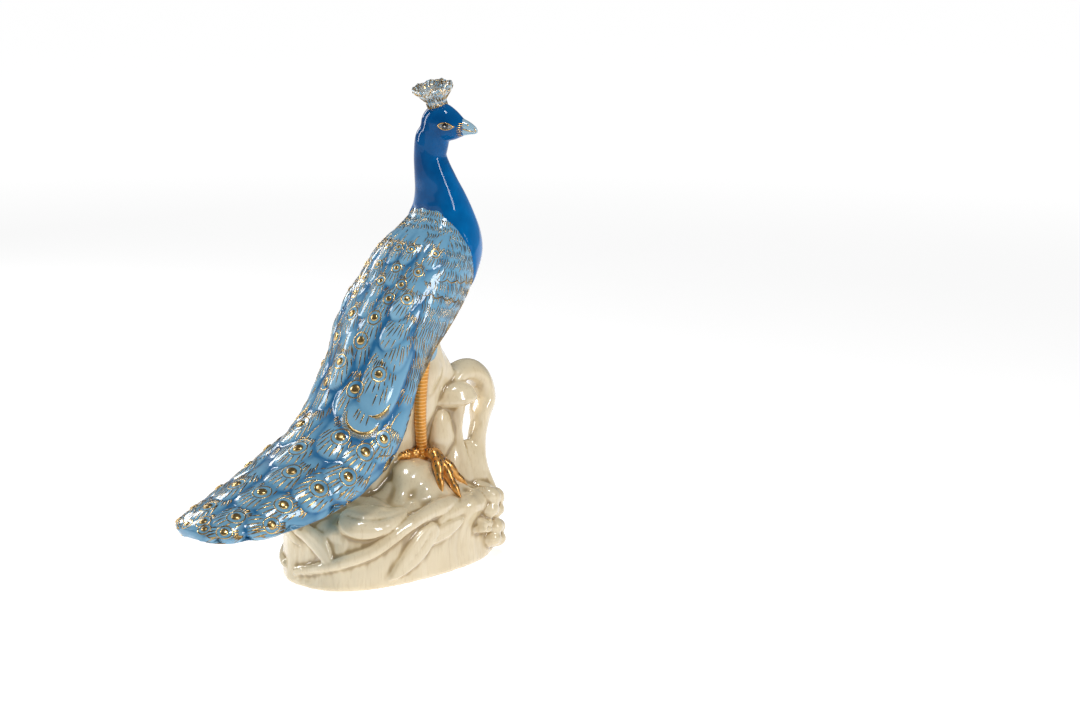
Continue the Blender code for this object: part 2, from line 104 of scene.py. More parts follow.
def spline(rows: Sequence[Sequence[float]], at: Array) -> Array:
    """Catmull-Rom values of evenly numbered rows.

    Each value is half of 2 p1 + (p2 - p0) t + (2 p0 - 5 p1 + 4 p2 - p3) t^2 + (3 p1 - p0 - 3 p2 + p3) t^3.

    Args:
        rows: Rows of numbers, one row to a step.
        at: Positions counted in rows, of any shape.

    Returns:
        Values with the shape of at and a last axis as long as a row.
    """
    rows = np.asarray(rows, float)
    at = np.asarray(at, float)
    padded = np.vstack([2 * rows[0] - rows[1], rows, 2 * rows[-1] - rows[-2]])
    first = np.clip(np.floor(at).astype(int), 0, len(rows) - 2)
    t = (at - first)[..., None]
    p0, p1, p2, p3 = (padded[first + k] for k in range(4))
    cubic = 3 * p1 - p0 - 3 * p2 + p3
    square = 2 * p0 - 5 * p1 + 4 * p2 - p3
    return 0.5 * (2 * p1 + (p2 - p0) * t + square * t**2 + cubic * t**3)


def resampled(rows: Sequence[Sequence[float]], count: int) -> Array:
    """Spline values at evenly spread places, from the first row to the last."""
    return spline(rows, np.linspace(0, len(rows) - 1, count))


def slopes(surface: Surface, one: Array, two: Array, step: float = 0.01) -> Tuple[Array, Array]:
    """A surface's differences over a step each way along its two parameters."""
    ahead, behind = surface(one + step, two), surface(one - step, two)
    return ahead - behind, surface(one, two + step) - surface(one, two - step)


def surface_normals(surface: Surface, one: Array, two: Array, step: float = 0.01) -> Array:
    """Unit normals of a surface: the cross product of its slopes along the two parameters."""
    return unit(np.cross(*slopes(surface, one, two, step)))


def turns(count: int) -> Array:
    """A row of even turns round a circle, in radians."""
    return 2 * np.pi * np.arange(count)[None, :] / count


def egg(radii: Sequence[float], levels: int, sides: int,
        swell: Callable[[Array, Array], Union[float, Array]] = lambda tilt, turn: 1.0) -> Array:
    """Rings of an egg's points round the origin.

    Sideways they follow the cosine of the tilt, times the cosine and the sine of the turn, times the
    swelling; upwards they follow the sine of the tilt.

    Args:
        radii: Half lengths along X, Y and Z.
        levels: Number of rings.
        sides: Points of a ring.
        swell: Factor of the girth, from tilts and turns.

    Returns:
        Points of shape (levels, sides, 3).
    """
    tilt, turn = np.radians(np.linspace(-POLE, POLE, levels))[:, None], turns(sides)
    x = radii[0] * np.cos(tilt) * np.cos(turn) * swell(tilt, turn)
    y = radii[1] * np.cos(tilt) * np.sin(turn) * swell(tilt, turn)
    return stacked(x, y, radii[2] * np.sin(tilt))


def ripple(points: Array, wavelength: float, seed: float = 0.0) -> Array:
    """Slow uneven waves from -1 to 1: the mean of three sines along slanted directions."""
    k = 2 * np.pi / wavelength
    x, y, z = points[..., 0], points[..., 1], points[..., 2]
    one = np.sin(k * (0.9 * x + 0.3 * y - 0.4 * z) + seed)
    two = np.sin(k * (-0.35 * x + 0.85 * y + 0.6 * z) + 1.7 * seed + 1.0)
    three = np.sin(k * (0.2 * x - 0.55 * y + 1.05 * z) + 2.3 * seed + 2.0)
    return (one + two + three) / 3.0


@dataclass
class Mould:
    """A mesh being made, in millimetres, as arrays of points, four-sided and three-sided faces."""

    points: Array
    quads: Array
    triangles: Array = field(default_factory=lambda: np.zeros((0, 3), int))

    @classmethod
    def loft(cls, rings: Array) -> "Mould":
        """A closed skin through rings of points, each end closed by a fan to the ring's middle.

        Args:
            rings: Points of shape (rings, points of a ring, 3).

        Returns:
            The closed mesh; its first points are those of the rings, in order.
        """
        count, sides = rings.shape[:2]
        index = np.arange(count * sides).reshape(count, sides)
        after = np.roll(index, -1, axis=1)
        quads = stacked(index[:-1], after[:-1], after[1:], index[1:]).reshape(-1, 4)
        first = stacked(after[0], index[0], count * sides)
        last = stacked(index[-1], after[-1], count * sides + 1)
        points = np.vstack([rings.reshape(-1, 3), rings[0].mean(axis=0), rings[-1].mean(axis=0)])
        return cls(points, quads, np.vstack([first, last]))

    @classmethod
    def joined(cls, parts: Sequence["Mould"]) -> "Mould":
        """One mesh of several."""
        starts = np.cumsum([0] + [len(part.points) for part in parts[:-1]])
        return cls(
            np.vstack([part.points for part in parts]),
            np.vstack([part.quads + start for part, start in zip(parts, starts)]),
            np.vstack([part.triangles + start for part, start in zip(parts, starts)]),
        )

    @classmethod
    def ribbons(cls, middles: Array, normals: Array, widths: Union[float, Array], lift: float, sink: float,
                closed: bool = False) -> "Mould":
        """Low closed ribbons with a four-cornered section, one along each row of points.

        The two lower corners stand half a width to each side and a little under the surface, and the
        two upper corners stand over the surface by the lift, drawn in by a third.

        Args:
            middles: Points of shape (ribbons, points of a ribbon, 3), on the surface.
            normals: The surface's unit normals there.
            widths: Full widths there.
            lift: Height over the surface.
            sink: Depth of the lower corners under the surface.
            closed: Whether each ribbon's last point is joined to its first.

        Returns:
            All ribbons as one mesh.
        """
        onward = np.roll(middles, -1, axis=1) - np.roll(middles, 1, axis=1)
        run = unit(onward if closed else np.gradient(middles, axis=1))
        widths = np.broadcast_to(widths, middles.shape[:2])[..., None]
        side = unit(np.cross(run, normals)) * (widths / 2)
        under = middles - normals * sink
        over = middles + normals * lift * np.clip(widths / widths.max(), 0.15, 1.0)
        corners = np.stack([under - side, over - side * CORNER, over + side * CORNER, under + side], axis=2)
        index = np.arange(corners.size // 3).reshape(corners.shape[:3])
        index = np.concatenate([index, index[:, :1]], axis=1) if closed else index
        after = np.roll(index, -1, axis=2)
        quads = stacked(index[:, :-1], after[:, :-1], after[:, 1:], index[:, 1:]).reshape(-1, 4)
        ends = [] if closed else [index[:, 0, ::-1], index[:, -1]]
        return cls(corners.reshape(-1, 3), np.vstack([quads, *ends]))

    @classmethod
    def brushed(cls, middles: Array, normals: Array, width: Union[float, Array], lift: float,
                sink: float) -> "Mould":
        """Ribbons like brush strokes: full in the middle, drawn out to a quarter at both ends."""
        t = np.linspace(0, 1, middles.shape[1])
        profile = 0.25 + 0.75 * np.clip(np.minimum(t / 0.22, (1 - t) / 0.35), 0, 1)
        return cls.ribbons(middles, normals, profile * width, lift, sink)

    @classmethod
    def studs(cls, middles: Array, normals: Array, radii: Array, rise: float, sides: int) -> "Mould":
        """Low domes, each a fan of rings whose height falls as a quarter circle from the middle.

        Args:
            middles: Points of shape (domes, 3).
            normals: Unit normals there.
            radii: Radii of shape (domes,) or (domes, 2) for an oval across and along.
            rise: Height of a dome for a radius of one.
            sides: Points of a ring.

        Returns:
            All domes as one mesh, each closed underneath.
        """
        radii = stacked(radii, radii) if radii.ndim == 1 else radii
        across = unit(np.cross(normals, (0.31, 0.17, 0.93)))
        along = np.cross(normals, across)
        turn = turns(sides)[0, :, None]
        tilt = np.radians([-25.0, 0.0, 30.0, 60.0])[:, None, None]
        sideways = across[:, None, None] * np.cos(turn) * radii[:, None, None, :1]
        lengthways = along[:, None, None] * np.sin(turn) * radii[:, None, None, 1:]
        tall = (radii.min(axis=1) * rise)[:, None, None, None]
        height = normals[:, None, None] * np.sin(tilt) * tall
        rings = middles[:, None, None] + np.cos(tilt) * (sideways + lengthways) + height
        return cls.joined([cls.loft(dome) for dome in rings])

    def mesh(self, name: str) -> Mesh:
        """A Blender mesh in metres, smooth, with its faces outwards."""
        made = bpy.data.meshes.new(name)
        made.from_pydata((self.points * MM).tolist(), [], self.quads.tolist() + self.triangles.tolist())
        data = bmesh.new()
        data.from_mesh(made)
        bmesh.ops.recalc_face_normals(data, faces=data.faces)
        data.to_mesh(made)
        data.free()
        made.shade_smooth()
        return made

    def place(self, name: str, material: Material, slot: Slot) -> Object:
        """Make the mesh a piece of the figurine."""
        return place(name, self.mesh(name), material, slot)


def rounded(parts: Sequence[Mould], voxel: float, passes: int) -> Mesh:
    """Shells melted into one skin: remade on a fine lattice, then evened out.

    Args:
        parts: Closed shells that may pass through each other.
        voxel: Size of the lattice, in mm.
        passes: How often each point moves half of the way to its neighbours' mean.

    Returns:
        One closed skin.
    """
    item = bpy.data.objects.new("lump", Mould.joined(parts).mesh("lump"))
    bpy.context.collection.objects.link(item)
    remesh = item.modifiers.new("one skin", "REMESH")
    remesh.mode = "VOXEL"
    remesh.voxel_size = voxel * MM
    smooth = item.modifiers.new("even", "SMOOTH")
    smooth.factor = 0.5
    smooth.iterations = passes
    bpy.context.view_layer.update()
    graph = bpy.context.evaluated_depsgraph_get()
    result = bpy.data.meshes.new_from_object(item.evaluated_get(graph))
    bpy.data.objects.remove(item, do_unlink=True)
    result.shade_smooth()
    return result


def points_and_normals(mesh: Mesh) -> Tuple[Array, Array]:
    """The points of a mesh, in mm, and their normals."""
    found = []
    for key in ("co", "normal"):
        flat = np.empty(len(mesh.vertices) * 3, np.float32)
        mesh.vertices.foreach_get(key, flat)
        found.append(flat.reshape(-1, 3).astype(float))
    return found[0] / MM, found[1]


def set_values(mesh: Mesh, name: str, values: Array) -> None:
    """Store one number for each point as a named attribute; a loft's two end points get 0."""
    padded = np.zeros(len(mesh.vertices), np.float32)
    padded[: values.size] = values.ravel()
    mesh.attributes.new(name, "FLOAT", "POINT").data.foreach_set("value", padded)


def place(name: str, mesh: Mesh, material: Material, slot: Slot) -> Object:
    """Link a finished mesh as a piece of the figurine, riding on the one body.

    Args:
        name: The piece's name.
        mesh: Its mesh, already where it belongs.
        material: Its finish.
        slot: The record's slot of that finish; not used.

    Returns:
        The new object.
    """
    item = bpy.data.objects.new(name, mesh)
    bpy.context.collection.objects.link(item)
    mesh.materials.clear()
    mesh.materials.append(material)
    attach(item, "root")
    log.info("%s: %d faces", name, len(mesh.polygons))
    return item


# ---- finishes


class Signal:
    """A socket of a shader tree, with arithmetic that adds Math nodes."""

    def __init__(self, recipe: "Recipe", socket: bpy.types.NodeSocket) -> None:
        """Keep the tree and the socket."""
        self.recipe = recipe
        self.socket = socket

    def _math(self, operation: str, one: object, two: object) -> "Signal":
        """One Math node on two values."""
        return self.recipe.node("ShaderNodeMath", {0: one, 1: two}, operation=operation)

    def __add__(self, other: object) -> "Signal":
        """Sum."""
        return self._math("ADD", self, other)

    def __rsub__(self, other: object) -> "Signal":
        """Difference, reflected."""
        return self._math("SUBTRACT", other, self)

    def __mul__(self, other: object) -> "Signal":
        """Product."""
        return self._math("MULTIPLY", self, other)


class Recipe:
    """A material's shader tree being written, around one Principled shader."""

    def __init__(self, name: str, **constants: object) -> None:
        """Start a material, with numbers for the shader's own sockets, named with _ for a space."""
        self.material = bpy.data.materials.new(name)
        self.start(self.material, "Principled BSDF", constants)

    def start(self, owner: Union[Material, bpy.types.World], shader: str,
              constants: Dict[str, object]) -> None:
        """Take up the tree of a material or a world, and set the shader's numbers."""
        owner.use_nodes = True
        self.tree = owner.node_tree
        self.shader = self.tree.nodes[shader]
        for key, value in constants.items():
            self.feed(key.replace("_", " "), value)

    def _fill(self, socket: bpy.types.NodeSocket, value: object) -> None:
        """Give a socket a link, a number, or a colour."""
        if isinstance(value, Signal):
            self.tree.links.new(value.socket, socket)
        else:
            socket.default_value = (*value, 1.0) if socket.type == "RGBA" else value

    def node(self, kind: str, inputs: Dict[object, object], out: int = 0, **settings: object) -> Signal:
        """Add any node.

        Args:
            kind: Blender's type name.
            inputs: Values or signals by socket name or number.
            out: Number of the output wanted.
            **settings: The node's own properties, set before its inputs.

        Returns:
            The output.
        """
        made = self.tree.nodes.new(kind)
        for key, value in settings.items():
            setattr(made, key, value)
        for key, value in inputs.items():
            self._fill(made.inputs[key], value)
        return Signal(self, made.outputs[out])

    def place(self) -> Signal:
        """Object coordinates."""
        return self.node("ShaderNodeTexCoord", {}, 3)

    def attribute(self, name: str) -> Signal:
        """A number stored on the piece's points."""
        return self.node("ShaderNodeAttribute", {}, 2, attribute_name=name)

    def noise(self, scale: float, detail: float = 3.0, roughness: float = 0.5) -> Signal:
        """Noise over Object coordinates, from 0 to 1, with a scale in cycles to the metre."""
        inputs = {"Vector": self.place(), "Scale": scale, "Detail": detail, "Roughness": roughness}
        return self.node("ShaderNodeTexNoise", inputs)

    def between(self, signal: Signal, low: float, high: float) -> Signal:
        """A signal eased from 0 at low to 1 at high."""
        return self.node("ShaderNodeMapRange", {0: signal, 1: low, 2: high}, interpolation_type="SMOOTHSTEP")

    def mix(self, factor: Signal, one: object, two: object) -> Signal:
        """A colour between two colours."""
        return self.node("ShaderNodeMix", {0: factor, 6: one, 7: two}, 2, data_type="RGBA")

    def coordinate(self, axis: int) -> Signal:
        """One of the Object coordinates."""
        return self.node("ShaderNodeSeparateXYZ", {0: self.place()}, axis)

    def bump(self, height: Signal, distance: float, strength: float) -> None:
        """Wire a height, in units of the distance in mm, into the shader's normal."""
        inputs = {"Height": height, "Distance": distance * MM, "Strength": strength}
        self.feed("Normal", self.node("ShaderNodeBump", inputs))

    def feed(self, socket: str, signal: object) -> None:
        """Wire a signal, or set a number, into the shader."""
        self._fill(self.shader.inputs[socket], signal)


class Backdrop(Recipe):
    """The world's tree: greys by the height that a ray looks to."""

    def __init__(self, name: str, stops: Rows) -> None:
        """Make the scene's world, from pairs of a height and a grey, from below to above."""
        world = bpy.data.worlds.new(name)
        bpy.context.scene.world = world
        self.start(world, "Background", {"Strength": 1.0})
        towards = self.node("ShaderNodeTexCoord", {})
        height = self.node("ShaderNodeSeparateXYZ", {0: towards}, 2)
        grey = self.node("ShaderNodeValToRGB", {0: height})
        steps = grey.socket.node.color_ramp.elements
        for _ in stops[2:]:
            steps.new(1.0)
        for step, (where, tone) in zip(steps, stops):
            step.position = where
            step.color = (tone, tone, tone, 1.0)
        self.feed("Color", grey)


@dataclass(frozen=True)
class SmaltGlaze:
    """Deep cobalt under a wet-looking clear glaze, a little lighter towards the breast."""

    dark: Colour = (0.0, 0.045, 0.17)
    light: Colour = (0.0, 0.205, 0.57)

    def material(self) -> Material:
        """Height, the distance in front of the nape and soft clouds choose between the two blues."""
        made = Recipe("smalt_glaze", Roughness=0.2, Specular_IOR_Level=0.0, Coat_Weight=1.0,
                      Coat_Roughness=0.03, Coat_IOR=1.3)
        height = made.between(made.coordinate(2), 0.36, 0.22)
        front = made.between(made.coordinate(0), 0.036, 0.08)
        clouds = made.between(made.noise(55.0, 2.0), 0.3, 0.75)
        made.feed("Base Color", made.mix(height * 0.3 + front * 0.45 + clouds * 0.25, self.dark, self.light))
        made.bump(made.noise(90.0, 1.0), 0.35, 0.35)
        return made.material


@dataclass(frozen=True)
class SkyGlaze:
    """Sky blue, darkened in the recesses between feathers by painted shade and lightened on their domes by
    painted light.
    """

    middle: Colour = (0.165, 0.39, 0.58)
    # painted shade: the dark blue laid into the recesses between feathers
    deep: Colour = (0.02, 0.15, 0.34)
    # painted light: the pale blue laid onto the feathers' domes
    pale: Colour = (0.28, 0.54, 0.74)

    def material(self) -> Material:
        """The stored values lay painted shade into the recesses and painted light onto the domes, broken up
        by fine clouds.
        """
        made = Recipe("sky_glaze", Roughness=0.3, Specular_IOR_Level=0.1, Coat_Weight=1.0,
                      Coat_Roughness=0.04, Coat_IOR=1.4)
        clouds = made.noise(160.0, 4.0)
        # painted shade in the recesses, then painted light on the domes
        painted_recess_shade = made.attribute("painted_recess_shade") * (clouds * 0.7 + 0.65)
        dome = made.attribute("dome") * (1.25 - clouds * 0.5)
        colour = made.mix(dome, self.middle, self.pale)
        made.feed("Base Color", made.mix(painted_recess_shade, colour, self.deep))
        made.bump(made.noise(420.0, 2.0), 0.12, 0.5)
        return made.material


@dataclass(frozen=True)
class CreamGlaze:
    """Ivory glaze with painted shade darkening the creases, and thin streaks running down."""

    ivory: Colour = (0.87, 0.74, 0.51)
    warm_tone_and_shade: Colour = (0.6, 0.44, 0.22)
    # painted shade colour of the deepest creases
    crease_shade_brown: Colour = (0.3, 0.19, 0.08)

    def material(self) -> Material:
        """Clouds and stretched noise vary the tone, and the stored crease values lay painted shade into the
        creases.
        """
        made = Recipe("cream_glaze", Roughness=0.22, Coat_Weight=1.0, Coat_Roughness=0.05, Coat_IOR=1.5)
        clouds = made.between(made.noise(38.0), 0.35, 0.75)
        stretch = made.node("ShaderNodeMapping", {"Vector": made.place(), "Scale": (1.0, 1.0, 0.12)})
        streaks = made.node("ShaderNodeTexNoise", {"Vector": stretch, "Scale": 520.0, "Detail": 3.0})
        streaks = made.between(streaks, 0.5, 0.75)
        crease = made.attribute("crease")
        colour = made.mix(clouds * 0.3 + streaks * 0.28, self.ivory, self.warm_tone_and_shade)
        # painted shade: the creases darken, a little and then deeply
        colour = made.mix(made.between(crease, 0.1, 0.95) * 0.75, colour, self.warm_tone_and_shade)
        made.feed("Base Color", made.mix(made.between(crease, 0.6, 1.3) * 0.6, colour, self.crease_shade_brown))
        made.bump(made.noise(260.0, 2.0), 0.15, 0.4)
        return made.material


@dataclass(frozen=True)
class Gilding:
    """Burnished gold, brushed thin, darkened throughout and in cloudy patches as a painted dark reflection of
    the studio.
    """

    name: str = "gilding"
    # painted dark reflection: a gold darker than gold, and a near black it darkens towards, for the dark room
    # the gold reflects
    colour: Colour = (0.5, 0.34, 0.14)
    dark: Colour = (0.1, 0.065, 0.03)
    roughness: float = 0.2
    painted_dark_reflection: float = 0.9

    def material(self) -> Material:
        """Clouds darken the gold towards near black, as painted dark reflection, and roughen it."""
        made = Recipe(self.name, Metallic=1.0)
        clouds = made.between(made.noise(120.0, 3.0), 0.4, 0.62)
        made.feed("Base Color", made.mix(clouds * self.painted_dark_reflection, self.colour, self.dark))
        made.feed("Roughness", clouds * 0.14 + self.roughness)
        made.bump(made.noise(700.0, 2.0), 0.06, 0.5)
        return made.material


@dataclass(frozen=True)
class LegGold:
    """Satin orange gold with painted highlights as fine bright rims along the scutes."""

    colour: Colour = (0.72, 0.31, 0.05)
    dark: Colour = (0.42, 0.17, 0.03)
    # painted highlight colour, where the ridge values are high
    bright: Colour = (1.0, 0.66, 0.28)

    def material(self) -> Material:
        """The stored ridge values lay painted highlights along the shank's scute ridges, and soft random
        bright patches on the toes.
        """
        made = Recipe("leg_gold", Metallic=0.85, Coat_Weight=0.2, Coat_Roughness=0.1)
        ridge = made.attribute("ridge")
        clouds = made.between(made.noise(240.0, 3.0), 0.4, 0.7)
        colour = made.mix(clouds * 0.4, self.colour, self.dark)
        made.feed("Base Color", made.mix(ridge, colour, self.bright))
        made.feed("Roughness", 0.36 - ridge * 0.12)
        return made.material


@dataclass(frozen=True)
class CrestGlaze:
    """Pale blue and white mottled with rubbed gold, as brushed over the rough cup."""

    blue: Colour = (0.3, 0.5, 0.66)
    white: Colour = (0.62, 0.68, 0.68)
    gold: Colour = (0.72, 0.46, 0.18)

    def material(self) -> Material:
        """Two sizes of noise choose blue, white or gold; gold is metal."""
        made = Recipe("crest_glaze", Coat_Weight=0.8, Coat_Roughness=0.08)
        broad = made.between(made.noise(210.0), 0.4, 0.62)
        rubbed = made.between(made.noise(620.0, 4.0, 0.6), 0.5, 0.6) * 0.95
        made.feed("Base Color", made.mix(rubbed, made.mix(broad, self.blue, self.white), self.gold))
        made.feed("Metallic", rubbed * 0.9)
        made.feed("Roughness", rubbed * 0.1 + 0.2)
        made.bump(made.noise(520.0), 0.45, 0.8)
        return made.material


@dataclass(frozen=True)
class PlainEnamel:
    """One glossy enamel colour with faint clouds of a second."""

    name: str
    colour: Colour
    second: Colour
    roughness: float = 0.14

    def material(self) -> Material:
        """Soft noise mixes the two colours."""
        made = Recipe(self.name, Roughness=self.roughness, Coat_Weight=1.0, Coat_Roughness=0.04)
        clouds = made.between(made.noise(280.0, 3.0), 0.35, 0.7)
        made.feed("Base Color", made.mix(clouds, self.colour, self.second))
        return made.material


# ---- the bird's body


class Station(NamedTuple):
    """A cross-section of the body, in the plane that holds the Y axis and the dorsal direction."""

    x: float
    y: float
    z: float
    lean: float
    half_width: float
    rise: float
    drop: float
    rim: float


@dataclass(frozen=True)
class Body:
    """The smooth form under neck, trunk and train."""

    stations: Tuple[Station, ...] = (
        Station(55.5, -1.5, 353.0, 90, 8.0, 8.5, 8.5, 0.6),
        Station(53.4, 2.8, 343.0, 90, 11.4, 12.0, 11.4, 0.6),
        Station(52.7, 3.4, 326.0, 90, 12.6, 13.0, 12.9, 0.6),
        Station(55.6, 1.0, 308.5, 88, 16.2, 16.2, 17.0, 0.6),
        Station(59.3, 0.0, 294.5, 86, 19.8, 19.0, 21.8, 0.6),
        Station(61.6, 0.0, 280.5, 83, 24.8, 23.0, 27.2, 0.6),
        Station(59.5, 0.0, 267.0, 79, 31.8, 32.0, 34.4, 0.8),
        Station(52.8, 0.0, 254.2, 75, 38.0, 39.6, 40.5, 1.0),
        Station(40.5, 0.0, 238.0, 73, 42.5, 43.0, 43.0, 1.0),
        Station(26.7, 0.0, 219.3, 73, 44.5, 43.5, 43.0, 1.0),
        Station(11.5, 0.0, 200.6, 71, 45.0, 41.5, 40.0, 1.5),
        Station(-1.5, 0.0, 182.0, 66, 44.5, 39.5, 31.0, 2.5),
        Station(-8.0, 0.0, 158.0, 57, 44.0, 43.0, 10.0, 4.0),
        Station(-18.0, 0.0, 134.0, 52, 45.0, 45.0, -12.0, 6.0),
        Station(-38.0, 0.0, 105.0, 47, 48.0, 46.0, -24.0, 7.0),
        Station(-68.0, 0.0, 86.0, 41, 51.5, 43.5, -25.0, 7.0),
        Station(-98.0, 0.0, 74.5, 35, 52.0, 38.5, -23.0, 7.0),
        Station(-130.0, 0.0, 67.0, 32, 49.0, 32.0, -19.0, 7.0),
        Station(-160.0, 0.0, 63.5, 27, 43.0, 24.0, -13.0, 7.0),
        Station(-186.0, 0.0, 63.5, 22, 35.5, 15.0, -6.0, 7.0),
        Station(-201.0, 0.0, 64.5, 18, 26.5, 8.0, -1.0, 7.0),
        Station(-208.5, 0.0, 65.0, 16, 13.0, 4.5, 0.5, 6.0),
    )
    rim_turn: float = 0.14  # sine of the turn over which the side edge rounds into the underside
    feathered: Tuple[float, float] = (3.0, 21.0)  # stations that gold may lie on

    def surface(self, along: Array, around: Array) -> Array:
        """Points of the form.

        Sideways they follow the cosine of the turn times the half width, and upwards its sine times
        the rise; below the side line the drop takes the rise's place and the edge's thickness is
        eased in. Upwards is the station's lean, tilted back from the vertical.

        Args:
            along: Station numbers.
            around: Turns in radians, from the left side over the back.

        Returns:
            Points in mm.
        """
        along, around = np.broadcast_arrays(along, around)
        values = spline(self.stations, along)
        x, y, z, lean, width, rise, drop, rim = np.moveaxis(values, -1, 0)
        cosine, sine = np.cos(around), np.sin(around)
        edge = smoothstep(0.0, self.rim_turn, -sine)
        side = (width - rim / 2 * edge) * cosine
        height = np.where(sine >= 0, rise * sine, -drop * np.abs(sine) - 0.6 * rim * edge)
        lean = np.radians(lean)
        return stacked(x - np.sin(lean) * height, y + side, z + np.cos(lean) * height)

    def normals(self, along: Array, around: Array) -> Array:
        """Unit normals, outwards."""
        return surface_normals(self.surface, *np.broadcast_arrays(along, around))

    def locate(self, targets: Array, along: Array, around: Array, rounds: int = 4) -> Tuple[Array, Array]:
        """Station numbers and turns of the form's points nearest to given points.

        Each round takes the slopes along both parameters and solves the two normal equations of the
        remaining distance.

        Args:
            targets: Points in mm.
            along: First guess of the station numbers.
            around: First guess of the turns, in radians.
            rounds: Rounds of the improvement.

        Returns:
            Station numbers and turns.
        """
        step = 0.01
        for _ in range(rounds):
            miss = targets - self.surface(along, around)
            one, two = (slope / (2 * step) for slope in slopes(self.surface, along, around, step))
            aa, ab, bb = (one * one).sum(-1), (one * two).sum(-1), (two * two).sum(-1)
            am, bm = (one * miss).sum(-1), (two * miss).sum(-1)
            scale = np.maximum(aa * bb - ab * ab, 1e-6)
            along = np.clip(along + np.clip((bb * am - ab * bm) / scale, -1.5, 1.5), *self.feathered)
            around = around + np.clip((aa * bm - ab * am) / scale, -0.5, 0.5)
        return along, around

    def collar(self, around: Array) -> Array:
        """Station number where cobalt gives way to plumage: high on the nape, low on the breast."""
        off_ridge = np.degrees(np.abs((around - np.pi / 2 + np.pi) % (2 * np.pi) - np.pi))
        base = np.interp(off_ridge, (0, 40, 76, 102, 130, 180), (4.62, 4.7, 5.8, 7.05, 8.0, 8.8))
        return base + 0.1 * np.abs(np.sin(np.radians(off_ridge) * 5.5))


@dataclass(frozen=True)
class Head:
    """Skull, bill and crown, in the head's own frame: forward along the bill, left, up."""

    centre: Place = (57.0, -7.0, 350.0)
    yaw: float = -65.0
    pitch: float = 9.0
    skull: Rows = (
        (-17.6, 0.0, 2.0, 2.0),
        (-16.2, 0.3, 7.0, 5.8),
        (-12.5, 0.8, 11.8, 9.4),
        (-6.5, 1.0, 15.2, 12.0),
        (0.5, 1.0, 15.8, 12.7),
        (7.0, 1.2, 12.8, 11.6),
        (11.8, 0.7, 10.3, 9.6),
        (15.2, 0.6, 7.9, 7.4),
        (17.9, 0.8, 6.5, 5.6),
        (20.0, 0.9, 5.2, 4.6),
    )
    bill: Rows = (
        (15.0, 1.0, 7.6, 6.7),
        (18.2, 1.1, 6.5, 5.7),
        (21.4, 1.2, 5.4, 4.7),
        (24.7, 1.1, 4.1, 3.5),
        (27.3, 0.7, 2.9, 2.5),
        (28.7, 0.3, 1.8, 1.6),
        (29.4, 0.1, 0.6, 0.5),
    )

    def matrix(self) -> Array:
        """The turn from the head's frame to the figurine's: pitch about Y, then yaw about Z."""
        turn = Matrix.Rotation(np.radians(self.yaw), 3, "Z") @ Matrix.Rotation(np.radians(self.pitch), 3, "Y")
        return np.array(turn)

    def out(self, points: Array) -> Array:
        """Points carried from the head's frame to the figurine's."""
        return points @ self.matrix().T + np.array(self.centre)

    def loft(self, sections: Sequence[Sequence[float]], at: Array, around: Array) -> Array:
        """Points of an oval loft: half width times cosine to the left, half height times sine up."""
        forward, up, height, width = np.moveaxis(spline(sections, at), -1, 0)
        return stacked(forward, width * np.cos(around), up + height * np.sin(around))

    @staticmethod
    def section(sections: Rows, forward: Array) -> List[Array]:
        """Height of the middle, half height and half width at forward places of a row of sections."""
        table = np.array(sections)
        return [np.interp(forward, table[:, 0], table[:, k]) for k in (1, 2, 3)]

    def side_at(self, forward: Array, up: Array, side: int, proud: float) -> Array:
        """Points on the skull's side for places seen from the side.

        The section at that forward place gives the half height and width, and the sideways place is
        the width times the root of one less the squared share of the height.

        Args:
            forward: Places along the bill's direction, in the head's frame.
            up: Places upwards.
            side: 1 for the left and -1 for the right.
            proud: Distance outside the skull.

        Returns:
            Points in the figurine's frame.
        """
        middle, height, width = self.section(self.skull, forward)
        share = np.clip(np.abs(up - middle) / height, 0, 0.98)
        across = side * (width * np.sqrt(1 - share**2) + proud)
        return self.out(stacked(forward, across, up))


@dataclass
class BlueSkin:
    """Head, neck and breast in one cobalt skin."""

    body: Body
    head: Head
    voxel: float = 0.95
    passes: int = 14
    swell: float = 0.25  # makes up for what the smoothing takes off
    tuck: float = 2.4  # how deep the tube's end lies under the plumage
    nape_top: Place = (-5.6, 0.0, 8.0)  # in the head's frame
    nape_bottom: Place = (52.6, 3.2, 318.0)

    def build(self, material: Material) -> None:
        """Melt the neck's tube, the skull and a filling behind the nape together.

        Past the collar the tube draws in, so that the plumage covers it.

        Args:
            material: The cobalt glaze.
        """
        along = np.linspace(0.0, 9.6, 120)[:, None]
        around = turns(96)
        inset = self.tuck * smoothstep(0.02, 0.3, along - self.body.collar(around))
        tube = self.body.surface(along, around) - self.body.normals(along, around) * inset[..., None]
        skull_at = np.linspace(0, len(self.head.skull) - 1, 64)[:, None]
        skull = self.head.out(self.head.loft(self.head.skull, skull_at, around))
        t = np.linspace(0, 1, 20)[:, None]
        top, bottom = self.head.out(np.array(self.nape_top)), np.array(self.nape_bottom)
        radii = np.linspace(12.6, 11.6, 20) * np.sqrt(1 - 0.96 * np.abs(2 * t[:, 0] - 1) ** 4)
        nape = tube_rings(top + (bottom - top) * t, radii, 48)
        mesh = rounded([Mould.loft(rings) for rings in (tube, skull, nape)], self.voxel, self.passes)
        points, normals = points_and_normals(mesh)
        mesh.vertices.foreach_set("co", ((points + normals * self.swell) * MM).astype(np.float32).ravel())
        mesh.update()
        item = place("blue_skin", mesh, material, Slot.SMALT)
        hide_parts("neck", "head")


class Plan(NamedTuple):
    """A feather's plan: where its eye sits, its size, its heading and how proud it stands."""

    station: float
    angle: float  # degrees from the left side over the back
    size: float
    heading: float = 0.0  # degrees from straight tailwards, towards the right side
    lift: float = 1.0
    eyed: bool = True
    gap: float = 2.2  # between strokes


